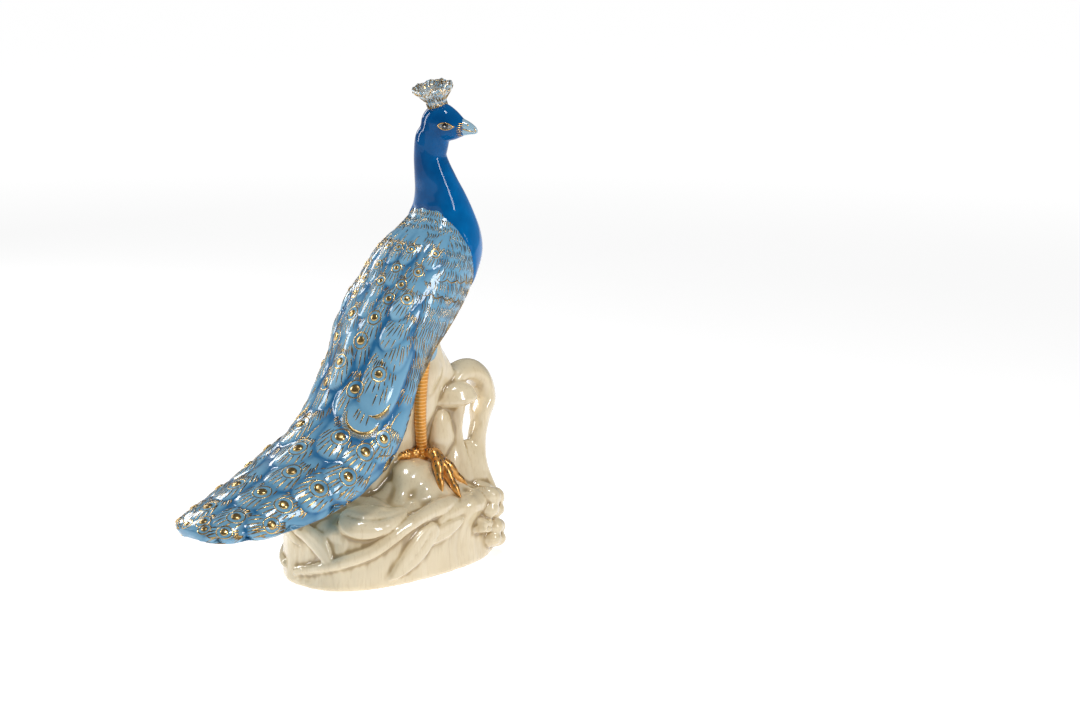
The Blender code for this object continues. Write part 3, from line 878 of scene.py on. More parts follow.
@dataclass
class Feathers:
    """All feathers' plans as arrays, with each feather's own frame on the body."""

    plans: List[Plan]
    body: Body
    powers: Place = (2.3, 2.4, 2.35)  # of the outline, across, along and joined

    def __post_init__(self) -> None:
        """Work out each feather's middle, direction, side and normal."""
        table = np.array([plan[:5] for plan in self.plans], float)
        self.along, self.around = table[:, 0], np.radians(table[:, 1])
        self.size, heading, self.lift = table[:, 2], np.radians(table[:, 3]), table[:, 4]
        self.eyed = np.array([plan.eyed for plan in self.plans])
        self.wide = self.size * np.interp(self.along, (9.0, 12.5, 14.0), (0.5, 0.55, 0.6))
        self.tip = self.size * np.interp(self.along, (9.0, 12.5, 14.0), (1.3, 1.1, 0.86))
        self.middle = self.body.surface(self.along, self.around)
        self.normal = self.body.normals(self.along, self.around)
        onward = self.body.surface(self.along + 0.02, self.around) - self.middle
        onward = unit(onward - self.normal * (onward * self.normal).sum(-1, keepdims=True))
        sideways = np.cross(onward, self.normal)
        self.direction = onward * np.cos(heading)[:, None] + sideways * np.sin(heading)[:, None]
        self.side = np.cross(self.direction, self.normal)

    def outline(self, number: int, p: Array, q: Array) -> Tuple[Array, Array]:
        """How far inside a feather's edge a place lies, and its share of the length.

        The edge is a superellipse ahead of the eye and a slow taper behind it.

        Args:
            number: The feather.
            p: Places along the feather, from its eye towards the tip.
            q: Places across.

        Returns:
            Distance from the edge in mm, positive inside, and the place from 0 at the root to 1.
        """
        size = self.size[number]
        wide, tip, root = self.wide[number], self.tip[number], 1.7 * size
        share = np.clip(np.abs(p) / np.where(p > 0, tip, root * 1.6), 0, 1.5)
        across, along, edge = self.powers
        reach = (np.abs(q) / wide) ** across + share**along
        return (1 - reach ** (1 / edge)) * wide, (p + root) / (root + tip)


@dataclass
class Plumage:
    """Back, wings and train: one skin raised into overlapping feathers."""

    body: Body
    first: float = 4.35
    last: float = 21.0
    rings: int = 400
    fine: int = 210
    coarse: int = 18
    draw_in: float = 1.5  # how far the skin lies inside the body's form
    tuck: float = 2.2  # how much deeper it starts, under the collar
    height: float = 3.4  # of the tallest feather's tip
    scallop: float = 1.3  # stations from one notch of the train's edge to the next
    notch: float = 4.5  # depth of a notch
    lobe: float = 30  # size from which a feather is one of the wings' lobes
    girth: Rows = ((5, 7, 21), (27, 39, 43))  # stations, and mm round the body to a radian there
    eye_rows: Tuple[Tuple[float, float, Tuple[float, ...]], ...] = (
        (7.5, 13, (-40, -24, -8, 8, 24, 52)),
        (8.35, 14, (-43, -28, -6, 19, 43)),
        (8.9, 15, (-32, -18, 8, 32, 52)),
        (9.5, 17, (-42, -22, 6, 26)),
        (10.35, 21, (-46, -10, 20)),
        (11.45, 24, (-60, -26, 14)),
        (12.5, 22, (-42, -2, 42)),
        (13.2, 27, (-62, -14, 24)),
        (13.95, 25, (-42, 68)),
        (14.5, 28, (-66, -14, 33, 60)),
        (15.35, 28, (-41, 8, 64)),
        (16.2, 28, (-64, -37, 23, 55)),
        (17.25, 27, (-48, -12, 22, 50)),
        (18.0, 25, (-66, 70)),
        (18.6, 26, (-42, -12, 35)),
        (19.6, 22, (-58, 8, 58)),
        (20.2, 18, (-20, 28)),
    )  # station, size, and degrees off the ridge of the eyed feathers

    def __post_init__(self) -> None:
        """Lay out the grid: fine over back and sides, coarse underneath."""
        self.along = np.linspace(self.first, self.last, self.rings)
        fine = np.linspace(-45.0, 225.0, self.fine, endpoint=False)
        coarse = np.linspace(225.0, 315.0, self.coarse, endpoint=False)
        self.around = np.radians(np.concatenate([fine, coarse]))
        self.smooth = self.body.surface(self.along[:, None], self.around[None, :])
        self.normal = self.body.normals(self.along[:, None], self.around[None, :])
        self.feathers = Feathers(self.plans(), self.body)
        self.raise_feathers()
        self.shape()

    def plans(self) -> List[Plan]:
        """The feathers' arrangement: rows of eyes, the wings' lobes and quills, and plain filling."""
        plans: List[Plan] = []
        for station, size, offsets in self.eye_rows:
            gap = 0.09 * size + 0.4
            proud = np.interp(station, (12.0, 12.5, 13.0), (1.0, 2.5, 1.3))
            for offset in offsets:
                if abs(offset) <= 40 or not 9.0 < station < 12.2:
                    plans.append(Plan(station, 90 + offset, size, 0.12 * offset, proud, True, gap))
        for side in (-1, 1):
            plans.append(Plan(9.4, 90 + side * 44, 17, side * 9, 2.3, True, 1.9))
            plans.append(Plan(10.45, 90 + side * 49, 20, side * 9, 2.0, False, 2.0))
            plans.append(Plan(11.3, 90 + side * 53, 23, side * 6, 1.75, False, 2.2))
            for k in range(6):
                heading = -side * (14 + 3 * k)
                plans.append(Plan(9.9 + 0.28 * k, 90 + side * (74 + 9.5 * k), 24, heading, 0.9, False, 2.2))
            plans.append(Plan(12.85, 90 + side * 47, self.lobe, side * 4, 2.3, False, 2.6))
            plans.append(Plan(13.45, 90 + side * 42, self.lobe + 2, side * 4, 1.9, False, 2.6))
        return plans + self.filling()

    def filling(self) -> List[Plan]:
        """Plain feathers in staggered rows from the collar to the train's end, each a little astray."""
        rng = np.random.default_rng(11)
        plans: List[Plan] = []
        spacing = (13, 15, 18, 22, 23, 20, 18, 20, 26, 31, 28, 28, 27, 24, 18, 10)  # mm between stations
        station = 4.8
        row = 0
        while station < 20.6:
            size = np.interp(station, (5, 7.4, 9, 11, 13, 16, 20), (7, 8.5, 11, 14, 18, 20, 16))
            gap = np.interp(station, (5, 8, 12, 16), (1.8, 1.8, 1.95, 2.5))
            lift = np.interp(station, (7, 10, 13), (0.2, 0.36, 0.45))
            turn = np.degrees(size * 1.02 / np.interp(station, *self.girth))
            count = int((132 if station < 11.5 else 92) / turn)
            wild = 26 if station < 8.4 else 9
            for k in range(-count, count + 1):
                angle = 90 + (k + 0.5 * (row % 2)) * turn + rng.uniform(-2, 2)
                heading = float(np.clip((angle - 90) * 0.12, -12, 12)) + rng.uniform(-wild, wild)
                jitter = rng.uniform(-0.08, 0.08)
                if station + jitter > self.body.collar(np.radians(angle)) + 0.12:
                    plans.append(Plan(station + jitter, angle, size, heading, lift, False, gap))
            station += 0.8 * size / np.interp(station, np.arange(5, 21), spacing)
            row += 1
        return plans

    def raise_feathers(self) -> None:
        """Take the highest feather at each point of the grid, and remember which one it is.

        A feather's height climbs from its root to its tip, is domed across, and falls off steeply
        over its edge.
        """
        flock = self.feathers
        self.relief = np.zeros(self.smooth.shape[:2])
        self.owner = np.full(self.relief.shape, -1)
        self.inside = np.zeros(self.relief.shape)
        covered = np.ones(len(flock.plans))
        scale = np.interp(self.along, (4.4, 7, 10, 14, 19, 21), (0.35, 0.55, 0.8, 1.0, 0.9, 0.5))
        for number in range(len(flock.plans)):
            size = flock.size[number]
            rows = np.abs(self.along - flock.along[number]) < 3.2
            away = self.smooth[rows] - flock.middle[number]
            p = away @ flock.direction[number]
            q = away @ flock.side[number]
            lost = np.abs(away @ flock.normal[number]) > 0.8 * size
            inside, share = flock.outline(number, p, q)
            inside = np.where(lost | (share < 0), -1.0, inside)
            covered[number] += (inside > 0).sum()
            domed = 0.25 + 0.75 * np.sqrt(np.clip(inside / (0.8 * flock.wide[number]), 0, 1))
            climb = 0.12 + 0.88 * np.clip(share, 0, 1) ** 1.2
            tall = self.height * scale[rows][:, None] * flock.lift[number] * climb
            tall = tall * domed * smoothstep(0.0, 1.1, inside)
            better = tall > self.relief[rows]
            self.relief[rows] = np.where(better, tall, self.relief[rows])
            self.owner[rows] = np.where(better, number, self.owner[rows])
            self.inside[rows] = np.where(better, inside, self.inside[rows])
        self.shown = np.bincount(self.owner[self.owner >= 0], minlength=len(covered)) / covered

    @staticmethod
    def blurred(values: Array, reach: int, passes: int = 3) -> Array:
        """Values averaged over a few cells each way, several times.

        Args:
            values: Grid values.
            reach: Cells to each side.
            passes: How often.

        Returns:
            The averaged values.
        """
        for _ in range(passes):
            padded = np.pad(values, ((reach, reach), (0, 0)), mode="edge")
            total = np.cumsum(np.vstack([np.zeros((1, values.shape[1])), padded]), axis=0)
            values = (total[2 * reach + 1 :] - total[: -2 * reach - 1]) / (2 * reach + 1)
            values = sum(np.roll(values, k, axis=1) for k in range(-reach, reach + 1)) / (2 * reach + 1)
        return values

    def shape(self) -> None:
        """Displace the grid: feathers, scalloped side edge, and the sunken start under the collar."""
        relief = self.blurred(self.relief, 1, 1)
        along, around = self.along[:, None], self.around[None, :]
        collar = self.body.collar(around)
        under = 1.0 - smoothstep(-0.03, 0.12, along - collar)
        notch = 1.0 - np.abs(np.sin(np.pi * (along - 16.25) / self.scallop))
        edge = bell(np.sin(around) / 0.22) * smoothstep(14.6, 16.0, along)
        offset = relief - self.draw_in - self.tuck * under - self.notch * edge * notch**2
        belly = smoothstep(-0.35, -0.8, np.sin(around))
        offset = offset * (1 - belly) - 0.8 * belly
        self.points = self.smooth + self.normal * offset[..., None]
        # painted shade where the skin lies under its blurred self, in the recesses; painted light where it
        # stands over it, on the domes
        soft = self.blurred(relief, 4)
        crisp = np.clip((self.blurred(relief, 2, 2) - relief) / 0.22, 0, 1)
        self.painted_recess_shade = np.clip(0.75 * np.clip((soft - relief) / 0.45, 0, 1) + 0.55 * crisp, 0, 1)
        self.dome = np.clip((relief - soft) / 0.9 + 0.1, 0, 1)
        run = np.gradient(self.points, axis=0)
        turn = np.roll(self.points, -1, axis=1) - np.roll(self.points, 1, axis=1)
        self.face = unit(np.cross(run, turn))

    def build(self, material: Material) -> None:
        """Make the skin.

        Args:
            material: The sky-blue glaze.
        """
        mesh = Mould.loft(self.points).mesh("plumage")
        # the values of the painted shade and painted light, for the sky glaze
        set_values(mesh, "painted_recess_shade", self.painted_recess_shade)
        set_values(mesh, "dome", self.dome)
        item = place("plumage", mesh, material, Slot.SKY)
        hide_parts("trunk", "train", "train_end", "wing_left", "wing_right")

    def cells(self, along: Array, around: Array) -> Tuple[Array, Array]:
        """Fractional row and column of the grid for station numbers and turns."""
        row = np.interp(along, self.along, np.arange(self.rings))
        turn = (around - self.around[0]) % (2 * np.pi)
        places = np.append(self.around - self.around[0], 2 * np.pi)
        return row, np.interp(turn, places, np.arange(len(places)))

    def sample(self, values: Array, along: Array, around: Array) -> Array:
        """Grid values at station numbers and turns, weighted from the four nearest points.

        Args:
            values: One value or vector for each point of the grid.
            along: Station numbers.
            around: Turns in radians.

        Returns:
            Values at those places.
        """
        row, column = self.cells(along, around)
        low = np.clip(np.floor(row).astype(int), 0, self.rings - 2)
        left = np.floor(column).astype(int) % len(self.around)
        right = (left + 1) % len(self.around)
        u, v = row - low, column - np.floor(column)
        if values.ndim == 3:
            u, v = u[..., None], v[..., None]
        near = values[low, left] * (1 - v) + values[low, right] * v
        far = values[low + 1, left] * (1 - v) + values[low + 1, right] * v
        return near * (1 - u) + far * u

    def on_skin(self, along: Array, around: Array) -> Tuple[Array, Array]:
        """Points of the raised skin and its normals."""
        return self.sample(self.points, along, around), unit(self.sample(self.face, along, around))

    def owners(self, along: Array, around: Array) -> Array:
        """Which feather shows at each place."""
        row, column = self.cells(along, around)
        return self.owner[np.round(row).astype(int), np.round(column).astype(int) % len(self.around)]


@dataclass
class Gilder:
    """The gold brushwork on the plumage: dots, rings, shafts, dashes, broad arcs and scalloped lines."""

    plumage: Plumage
    lift: float = 0.2
    sink: float = 0.05
    shaft: float = 1.05  # brush widths, down to the fringe's
    ring: float = 1.2
    dash: float = 0.85
    arc: float = 2.7
    fringe: float = 0.8
    dash_gap: float = 1.95
    dash_row: float = 0.44  # stations from one row of dashes to the next
    clear: float = 0.06  # stations between the collar and the first stroke
    halo: float = 1.12  # share of the ring's radius kept free of barbs

    def __post_init__(self) -> None:
        """Look up the feathers, and which of them carry long-running dashes in place of barbs."""
        self.flock = self.plumage.feathers
        low = np.abs(np.degrees(self.flock.around) - 90) > 62
        self.hatched = (self.flock.along < 9.6) | (low & (self.flock.along < 12.2))

    @staticmethod
    def eye_radii(size: Array) -> Tuple[Array, Array]:
        """Radii of the dot and of its ring on a feather of a size."""
        dot = 0.165 * size - 0.3
        return dot, dot * 1.5 + 0.9

    def carry(self, numbers: Array, p: Array, q: Array) -> Tuple[Array, Array, Array]:
        """Places given in the feathers' own frames.

        Args:
            numbers: Feather of each row.
            p: Places along, of shape (rows, points).
            q: Places across.

        Returns:
            Station numbers, turns, and whether the feather shows there.
        """
        targets = self.flock.middle[numbers][:, None] + p[..., None] * self.flock.direction[numbers][:, None]
        targets = targets + q[..., None] * self.flock.side[numbers][:, None]
        along = np.broadcast_to(self.flock.along[numbers][:, None], p.shape)
        around = np.broadcast_to(self.flock.around[numbers][:, None], p.shape)
        along, around = self.plumage.body.locate(targets, along, around)
        return along, around, self.plumage.owners(along, around) == numbers[:, None]

    def strokes(self, along: Array, around: Array, fit: Array, width: Union[float, Array], least: int,
                count: int = 6) -> Mould:
        """Brush strokes along the longest fitting run of each row of samples.

        Args:
            along: Station numbers, of shape (rows, samples).
            around: Turns.
            fit: Where a stroke may show.
            width: Brush width, for all rows or one for each.
            least: Fewest samples that make a stroke.
            count: Points along a ribbon.

        Returns:
            The ribbons.
        """
        current, best, end = np.zeros((3, len(along)), int)
        for k in range(along.shape[1]):
            current = np.where(fit[:, k], current + 1, 0)
            end = np.where(current > best, k, end)
            best = np.maximum(best, current)
        keep = best >= least
        start, stop = (end - best + 1)[keep], end[keep]
        t = start[:, None] + (stop - start)[:, None] * np.linspace(0, 1, count)[None, :]
        low = np.clip(np.floor(t).astype(int), 0, along.shape[1] - 2)
        rows = np.arange(keep.sum())[:, None]
        share = t - low
        kept = (along[keep], around[keep])
        places = (values[rows, low] * (1 - share) + values[rows, low + 1] * share for values in kept)
        widths = np.broadcast_to(width, keep.shape)[keep][:, None]
        return Mould.brushed(*self.plumage.on_skin(*places), widths, self.lift, self.sink)

    def barbs(self, chosen: Array) -> Mould:
        """Dashes that fan out from a point behind each eye, clear of its ring and of the edge.

        A dash lies on a ray from the focus; rays stand a fixed gap apart at the eye, and each ray is
        broken into dashes with a start shifted at random.

        Args:
            chosen: Numbers of the feathers.

        Returns:
            The ribbons.
        """
        rng = np.random.default_rng(5)
        found = []
        for number in chosen:
            plan = self.flock.plans[number]
            size, focus = plan.size, 1.5 * plan.size
            step = plan.gap / focus
            reach = int(0.75 / (step * 1.5))
            rays = np.arange(-reach, reach + 1) * step + rng.uniform(-0.2, 0.2, 2 * reach + 1) * step
            ring = self.halo * self.eye_radii(size)[1] if plan.eyed else 0.0
            chord = np.sqrt(np.clip(ring**2 - (rays * focus) ** 2, 0, None))
            first = np.where(chord > 0, chord, rng.uniform(-0.2, 0.1, len(rays)) * size)
            onward = 0.7 * size if plan.station < 12.6 else size
            start = stacked(first - 0.5 * size - chord, first, first + onward + 0.04 * size)
            start = focus + start.ravel()
            length = np.tile((0.42 * size, onward, 0.7 * size), len(rays))
            length = length * rng.uniform(0.85, 1.0, len(start))
            r = start[:, None] + length[:, None] * np.linspace(0, 1, 18)[None, :]
            bend = np.repeat(rays, 3)[:, None] * (1 + 0.2 * (r / focus - 1))
            found.append((np.full(len(r), number), -focus + r * np.cos(bend), r * np.sin(bend)))
        owners, p, q = (np.concatenate(part) for part in zip(*found))
        along, around, fit = self.carry(owners, p, q)
        size = self.flock.size[owners][:, None]
        margin = np.where(size < self.plumage.lobe, 0.05 * size - 0.2, 7.6)
        fit &= self.plumage.sample(self.plumage.inside, along, around) > margin
        fit &= (self.plumage.shown[owners] > 0.05)[:, None]
        free = self.halo * self.eye_radii(size)[1] - 0.3
        fit &= ~self.flock.eyed[owners][:, None] | (np.hypot(p, q) > free)
        fit &= (along < 20.9) & (along > self.plumage.body.collar(around) + self.clear)
        width = np.interp(self.flock.along[owners], (8.0, 12.0, 14.5), (0.85, 1.05, 1.35))
        return self.strokes(along, around, fit, width, 6)

    def hatch(self) -> Mould:
        """Staggered dashes that run along the body over the plain feathers of upper back and flanks."""
        rng = np.random.default_rng(17)
        found = []
        for k, level in enumerate(np.arange(4.55, 12.2, self.dash_row)):
            step = self.dash_gap / np.interp(level, *self.plumage.girth)
            places = np.radians(-60) + step * (np.arange(int(np.radians(300) / step)) + 0.5 * (k % 2))
            places = (places + rng.uniform(-0.15, 0.15, len(places)) * step)[:, None]
            t = np.linspace(0, 1, 14)[None, :]
            starts = level + rng.uniform(-0.09, 0.09, places.shape)
            length = np.interp(level, (9.0, 10.5), (0.38, 0.6)) + rng.uniform(-0.06, 0.04, places.shape)
            sway = 0.05 * np.sin(5 * places + 1.3 * k) + 0.03
            found.append((starts + length * t, places + sway * t + 0.02 * np.sin(np.pi * t)))
        along, around = (np.vstack(part) for part in zip(*found))
        free = np.append(self.hatched & ~self.flock.eyed, True)  # the last stands for no feather
        fit = free[self.plumage.owners(along, around)]
        fit &= along > self.plumage.body.collar(around) + self.clear
        return self.strokes(along, around, fit, self.dash, 6)

    def crescents(self, chosen: Array) -> Mould:
        """Broad arcs that follow the tips of feathers inside their edges, each with a fringe beyond it.

        Args:
            chosen: Numbers of the feathers.

        Returns:
            The ribbons.
        """

        def places(numbers: Array, angle: Array, ahead: Array, beside: Array) -> Tuple[Array, Array, Array]:
            """Places at an angle round the eye, some way inside the tip and the sides."""
            tip, wide = self.flock.tip[numbers][:, None], self.flock.wide[numbers][:, None]
            return self.carry(numbers, (tip - ahead) * np.cos(angle) ** 0.85, (wide - beside) * np.sin(angle))

        angle = np.radians(np.linspace(-72, 72, 60))[None, :]
        arcs = self.strokes(*places(chosen, angle, 5.6, 4.4), self.arc, 10, 26)
        angle = np.radians(np.tile(np.linspace(-66, 66, 30), len(chosen)))[:, None]
        away = np.linspace(4.6, 0.4, 12)[None, :]
        numbers = np.repeat(chosen, 30)
        fringe = self.strokes(*places(numbers, angle + 0.04 * (4.6 - away), away, away), self.fringe, 5)
        return Mould.joined([arcs, fringe])

    def eyes(self) -> Mould:
        """Domed dots, each in its ring, with a shaft that runs back to the root."""
        shown = self.plumage.owners(self.flock.along, self.flock.around) == np.arange(len(self.flock.plans))
        chosen = np.flatnonzero(self.flock.eyed & shown)
        dot, ring = self.eye_radii(self.flock.size[chosen])
        ring = ring[:, None]
        points, normals = self.plumage.on_skin(self.flock.along[chosen], self.flock.around[chosen])
        dots = Mould.studs(points, normals, dot, 0.36, 16)
        p, q = (ring * 1.05) * np.cos(turns(22)), (ring * 0.95) * np.sin(turns(22))
        along, around, _ = self.carry(chosen, p, q)
        hoops = Mould.ribbons(*self.plumage.on_skin(along, around), self.ring, self.lift, self.sink, True)
        t = np.linspace(0, 1, 12)[None, :]
        p = -ring - t * self.flock.size[chosen][:, None] * 0.9
        shafts = self.strokes(*self.carry(chosen, p, 0.35 * np.sin(2.6 * t) * ring), self.shaft, 4)
        return Mould.joined([dots, hoops, shafts])

    def line(self, start: Tuple[float, float], end: Tuple[float, float], scallops: int, sag: float,
             side: int) -> Mould:
        """A scalloped line from one place of the wing to another, given as station and angle off ridge.

        Args:
            start: Station and degrees off the ridge where it starts.
            end: The same where it ends.
            scallops: Number of scallops.
            sag: Depth of a scallop, in stations.
            side: 1 for the left and -1 for the right.

        Returns:
            The ribbon.
        """
        t = np.linspace(0, 1, 8 * scallops + 1)[None, :]
        along = start[0] + (end[0] - start[0]) * t + sag * np.abs(np.sin(np.pi * scallops * t))
        around = np.radians(90 + side * (start[1] + (end[1] - start[1]) * t))
        return Mould.brushed(*self.plumage.on_skin(along, around), self.ring, self.lift + 0.05, self.sink)

    def build(self, material: Material, bright: Material) -> None:
        """All gold on the plumage, in a few joined pieces.

        Args:
            material: The brushed gold.
            bright: The brighter gold of eyes and arcs.
        """
        lines = [self.hatch()]
        for side in (-1, 1):
            lines.append(self.line((8.45, 64), (8.2, 130), 5, 0.1, side))
            lines.append(self.line((9.02, 52), (9.0, 134), 6, 0.12, side))
        lobes = np.flatnonzero(self.flock.size >= self.plumage.lobe)
        self.eyes().place("gilded_eyes", bright, Slot.GOLD)
        Mould.joined(lines).place("gilded_hatch", material, Slot.GOLD)
        self.crescents(lobes).place("gilded_crescents", bright, Slot.GOLD)
        self.barbs(np.flatnonzero(self.flock.eyed | ~self.hatched)).place("gilded_barbs", material, Slot.GOLD)


# ---- crest and face


@dataclass
class Crest:
    """The ruffled cup on the crown, with its rolled rim and rubbed gold."""

    head: Head
    foot: Place = (-6.2, 0.0, 13.0)
    lean: float = 25.0
    tilt: float = 14.0
    roll: float = 0.24
    height: float = 17.6
    profile: Rows = (
        (7.6, -0.05),
        (7.7, 0.15),
        (8.6, 0.36),
        (11.2, 0.56),
        (14.2, 0.74),
        (15.7, 0.88),
        (15.4, 1.0),
        (14.0, 1.0),
        (12.6, 0.84),
        (10.6, 0.6),
        (7.0, 0.4),
        (2.5, 0.3),
    )  # radius and level, up the outside and down the inside
    flutes: int = 9
    gold_rows: Tuple[Tuple[float, float, int, float], ...] = (
        (0.1, 1.9, 40, 1.0),
        (2.0, 3.9, 44, 0.7),
        (4.3, 5.6, 40, 0.8),
        (6.5, 8.6, 36, 0.9),
    )  # first and last place on the profile, number and width of the strokes

    def surface(self, level: Array, turn: Array, radius: Array) -> Array:
        """Points of the cup.

        Each flute swells the radius and lifts the rim, and finer crimps roughen it, both more
        towards the rim. The cup's axis leans back and its rim is tilted back and rolled.

        Args:
            level: From 0 at the foot to 1 at the rim.
            turn: Turns in radians.
            radius: Radii before the fluting.

        Returns:
            Points in the figurine's frame.
        """
        wave = np.cos(self.flutes * turn) + 0.5 * np.sin(4 * turn + 0.8) + 0.4 * np.cos(23 * turn + 5 * level)
        radius = radius * (1 + 0.022 * level * wave) + 0.22 * np.sin(17 * turn + 9 * level)
        height = level * self.height + 0.4 * level**3 * wave
        x, y = radius * np.cos(turn), radius * np.sin(turn)
        lean, tilt = np.radians(self.lean), np.radians(self.tilt)
        forward = x * np.cos(tilt) - height * np.sin(lean)
        up = x * np.sin(tilt) + height * np.cos(lean) + self.roll * y
        return self.head.out(stacked(forward, y, up) + np.array(self.foot))

    def skin(self, at: Array, turn: Array) -> Array:
        """Points of the cup by place on its profile and turn."""
        rows = spline(self.profile, at)
        return self.surface(rows[..., 1], turn, rows[..., 0])

    def build(self, material: Material, gold: Material) -> None:
        """The cup as one loft along its profile, over the rolled rim and down the inside, and its strokes.

        Args:
            material: The mottled glaze of the cup.
            gold: The finish of the strokes.
        """
        turn = turns(216)
        radius, level = resampled(self.profile, 110).T[:, :, None]
        petals = 0.55 * np.cos(27 * turn) * smoothstep(6.6, 8.5, np.arange(110)[:, None] / 12)
        cup = Mould.loft(self.surface(level, turn, radius + petals)).place("crest_cup", material, Slot.PALE)
        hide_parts("crest")
        strokes = []
        for base, tip, count, width in self.gold_rows:
            rng = np.random.default_rng(count)
            t = np.linspace(0, 1, 6)[None, :]
            where = turns(count).T + rng.uniform(-0.06, 0.06, (count, 1))
            at = base + (tip - base) * t * rng.uniform(0.65, 1.0, (count, 1))
            sway = where + 0.07 * np.sin(3 * t + 5 * where)
            normals = -surface_normals(self.skin, at, sway, 0.03)
            strokes.append(Mould.brushed(self.skin(at, sway), normals, width, 0.35, 0.15))
        Mould.joined(strokes).place("crest_gold", gold, Slot.GOLD)


@dataclass
class Face:
    """Bill and eyes with their painted lines."""

    head: Head
    eye_middle: Tuple[float, float] = (5.6, 1.2)
    eye_half: Tuple[float, float] = (5.2, 2.65)
    iris: float = 2.75
    glint: float = 0.62
    line: float = 0.85  # brush width on the bill

    def on_bill(self, forward: Array, angle: Array, proud: float) -> Tuple[Array, Array]:
        """Points and outward directions on the bill, for forward places and turns.

        Args:
            forward: Places along the bill, in the head's frame.
            angle: Turns in radians, from the left over the top.
            proud: Distance outside the bill.

        Returns:
            Points and outward directions in the figurine's frame.
        """
        up, height, width = self.head.section(self.head.bill, forward)
        away = stacked(0.0, width * np.cos(angle), height * np.sin(angle))
        middle = stacked(forward, 0.0, up)
        return self.head.out(middle + away + unit(away) * proud), unit(away) @ self.head.matrix().T

    def build_bill(self, material: Material, gold: Material) -> None:
        """The bill as one loft, with gape line, nostrils, tip edge and the ticks at its root.

        Args:
            material: The glaze of the bill.
            gold: The finish of the painted lines.
        """
        at = np.linspace(0, len(self.head.bill) - 1, 60)[:, None]
        around = turns(64)
        crease = sum(0.35 * bell((np.degrees(around % np.pi) - seam) / 7) for seam in (2, 180))
        rings = self.head.out(self.head.loft(self.head.bill, at, around))
        inward = unit(rings - rings.mean(axis=1, keepdims=True))
        rings = rings - inward * (crease * smoothstep(0.2, 0.8, at) * smoothstep(6.0, 5.2, at))[..., None]
        bill = Mould.loft(rings).place("bill_glaze", material, Slot.PALE)
        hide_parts("bill")
        t = np.linspace(0, 1, 16)[None, :]
        gape = np.radians(6 * np.sin(2.4 * np.pi * t) * (1 - t) - 6 - 12 * t)
        parts = []
        for turned, sign in ((0.0, 1), (np.pi, -1)):
            nostril = np.array([21.6]), turned + sign * np.radians(np.array([38.0]))
            for forward, angle in ((17.3 + 11.2 * t, gape), (26.6 + 2.4 * t, np.radians(50 - 60 * t))):
                points, normals = self.on_bill(forward, turned + sign * angle, 0.02)
                parts.append(Mould.brushed(points, normals, self.line, 0.25, 0.15))
            points, normals = self.on_bill(*nostril, 0.0)
            parts.append(Mould.studs(points, normals, np.array([[0.65, 1.05]]), 0.5, 10))
        t = np.linspace(0, 1, 6)[None, :]
        heights = np.array([-4.6, -3.1, -1.5, 0.1, 1.8, 3.4, 5.0])[:, None]
        for side in (-1, 1):
            forward = 18.0 - 4.0 * t + 0.1 * np.abs(heights)
            points = self.head.side_at(forward, heights * (1 + 0.1 * t) - 0.5 * t, side, 0.4 + 0.8 * (1 - t))
            normal = unit(np.array((0.25, side, 0.0))) @ self.head.matrix().T
            parts.append(Mould.brushed(points, normal, 0.75, 0.35, 0.9))
        Mould.joined(parts).place("face_gold", gold, Slot.GOLD)

    def almond(self, side: int, turn: Array, reach: Array, proud: Array) -> Array:
        """Points on the head's side round an almond: an oval drawn out to a point in front and behind.

        Args:
            side: 1 for the left and -1 for the right.
            turn: Turns in radians.
            reach: From 0 in the middle to 1 at the edge.
            proud: Distance outside the skull.

        Returns:
            Points in the figurine's frame.
        """
        cosine, sine = np.cos(turn), np.sin(turn)
        drawn = 1 + 0.12 * np.maximum(cosine, 0) ** 4
        forward = self.eye_middle[0] + self.eye_half[0] * reach * cosine * drawn
        up = self.eye_middle[1] + self.eye_half[1] * reach * raised(sine, 1.35)
        up = up + 0.35 * reach * np.maximum(cosine, 0)
        return self.head.side_at(forward, up, side, proud)

    def build_eyes(self, white: Material, black: Material, gold: Material, glint: Material) -> None:
        """Each eye: a grey lens, a black iris, a white glint, and the gold line round them.

        Args:
            white: The finish of the lenses.
            black: The finish of the irises.
            gold: The finish of the lines.
            glint: The finish of the glints.
        """
        turn = turns(56)
        reach = np.array([1.02, 0.9, 0.75, 0.55, 0.35, 0.15])[:, None]
        middle = np.array(self.eye_middle)[:, None]
        t = np.linspace(0, 1, 8)[None, :]
        for side, name in ((-1, "eye_right"), (1, "eye_left")):
            front = self.almond(side, turn, reach, 0.3 + 0.7 * (1 - np.minimum(reach, 1) ** 2))
            back = self.almond(side, turn, reach[:1], -0.9)
            lens = Mould.loft(np.vstack([back, front])).place(name + "_lens", white, Slot.EYE)
            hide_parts(name)
            spot = self.head.side_at(middle[0] + 0.3, middle[1] + 0.15, side, 0.75)
            aim = unit(np.array([[0.12, float(side), 0.02]])) @ self.head.matrix().T
            Mould.studs(spot, aim, np.array([self.iris]), 0.3, 28).place(name + "_iris", black, Slot.EYE)
            spark = Mould.studs(spot + aim * 0.66, aim, np.array([self.glint]), 0.5, 16)
            spark.place(name + "_glint", glint, Slot.EYE)
            rim = self.almond(side, turn, np.array([[1.03]]), 0.45)
            tail = self.head.side_at(middle[0] + 5.6 + 1.7 * t, middle[1] + 0.4 + 0.6 * t, side, 0.45)
            painted = [Mould.ribbons(rim, aim, 1.0, 0.4, 0.9, True), Mould.brushed(tail, aim, 1.1, 0.4, 0.9)]
            Mould.joined(painted).place(name + "_gold", gold, Slot.GOLD)


# ---- legs and stump


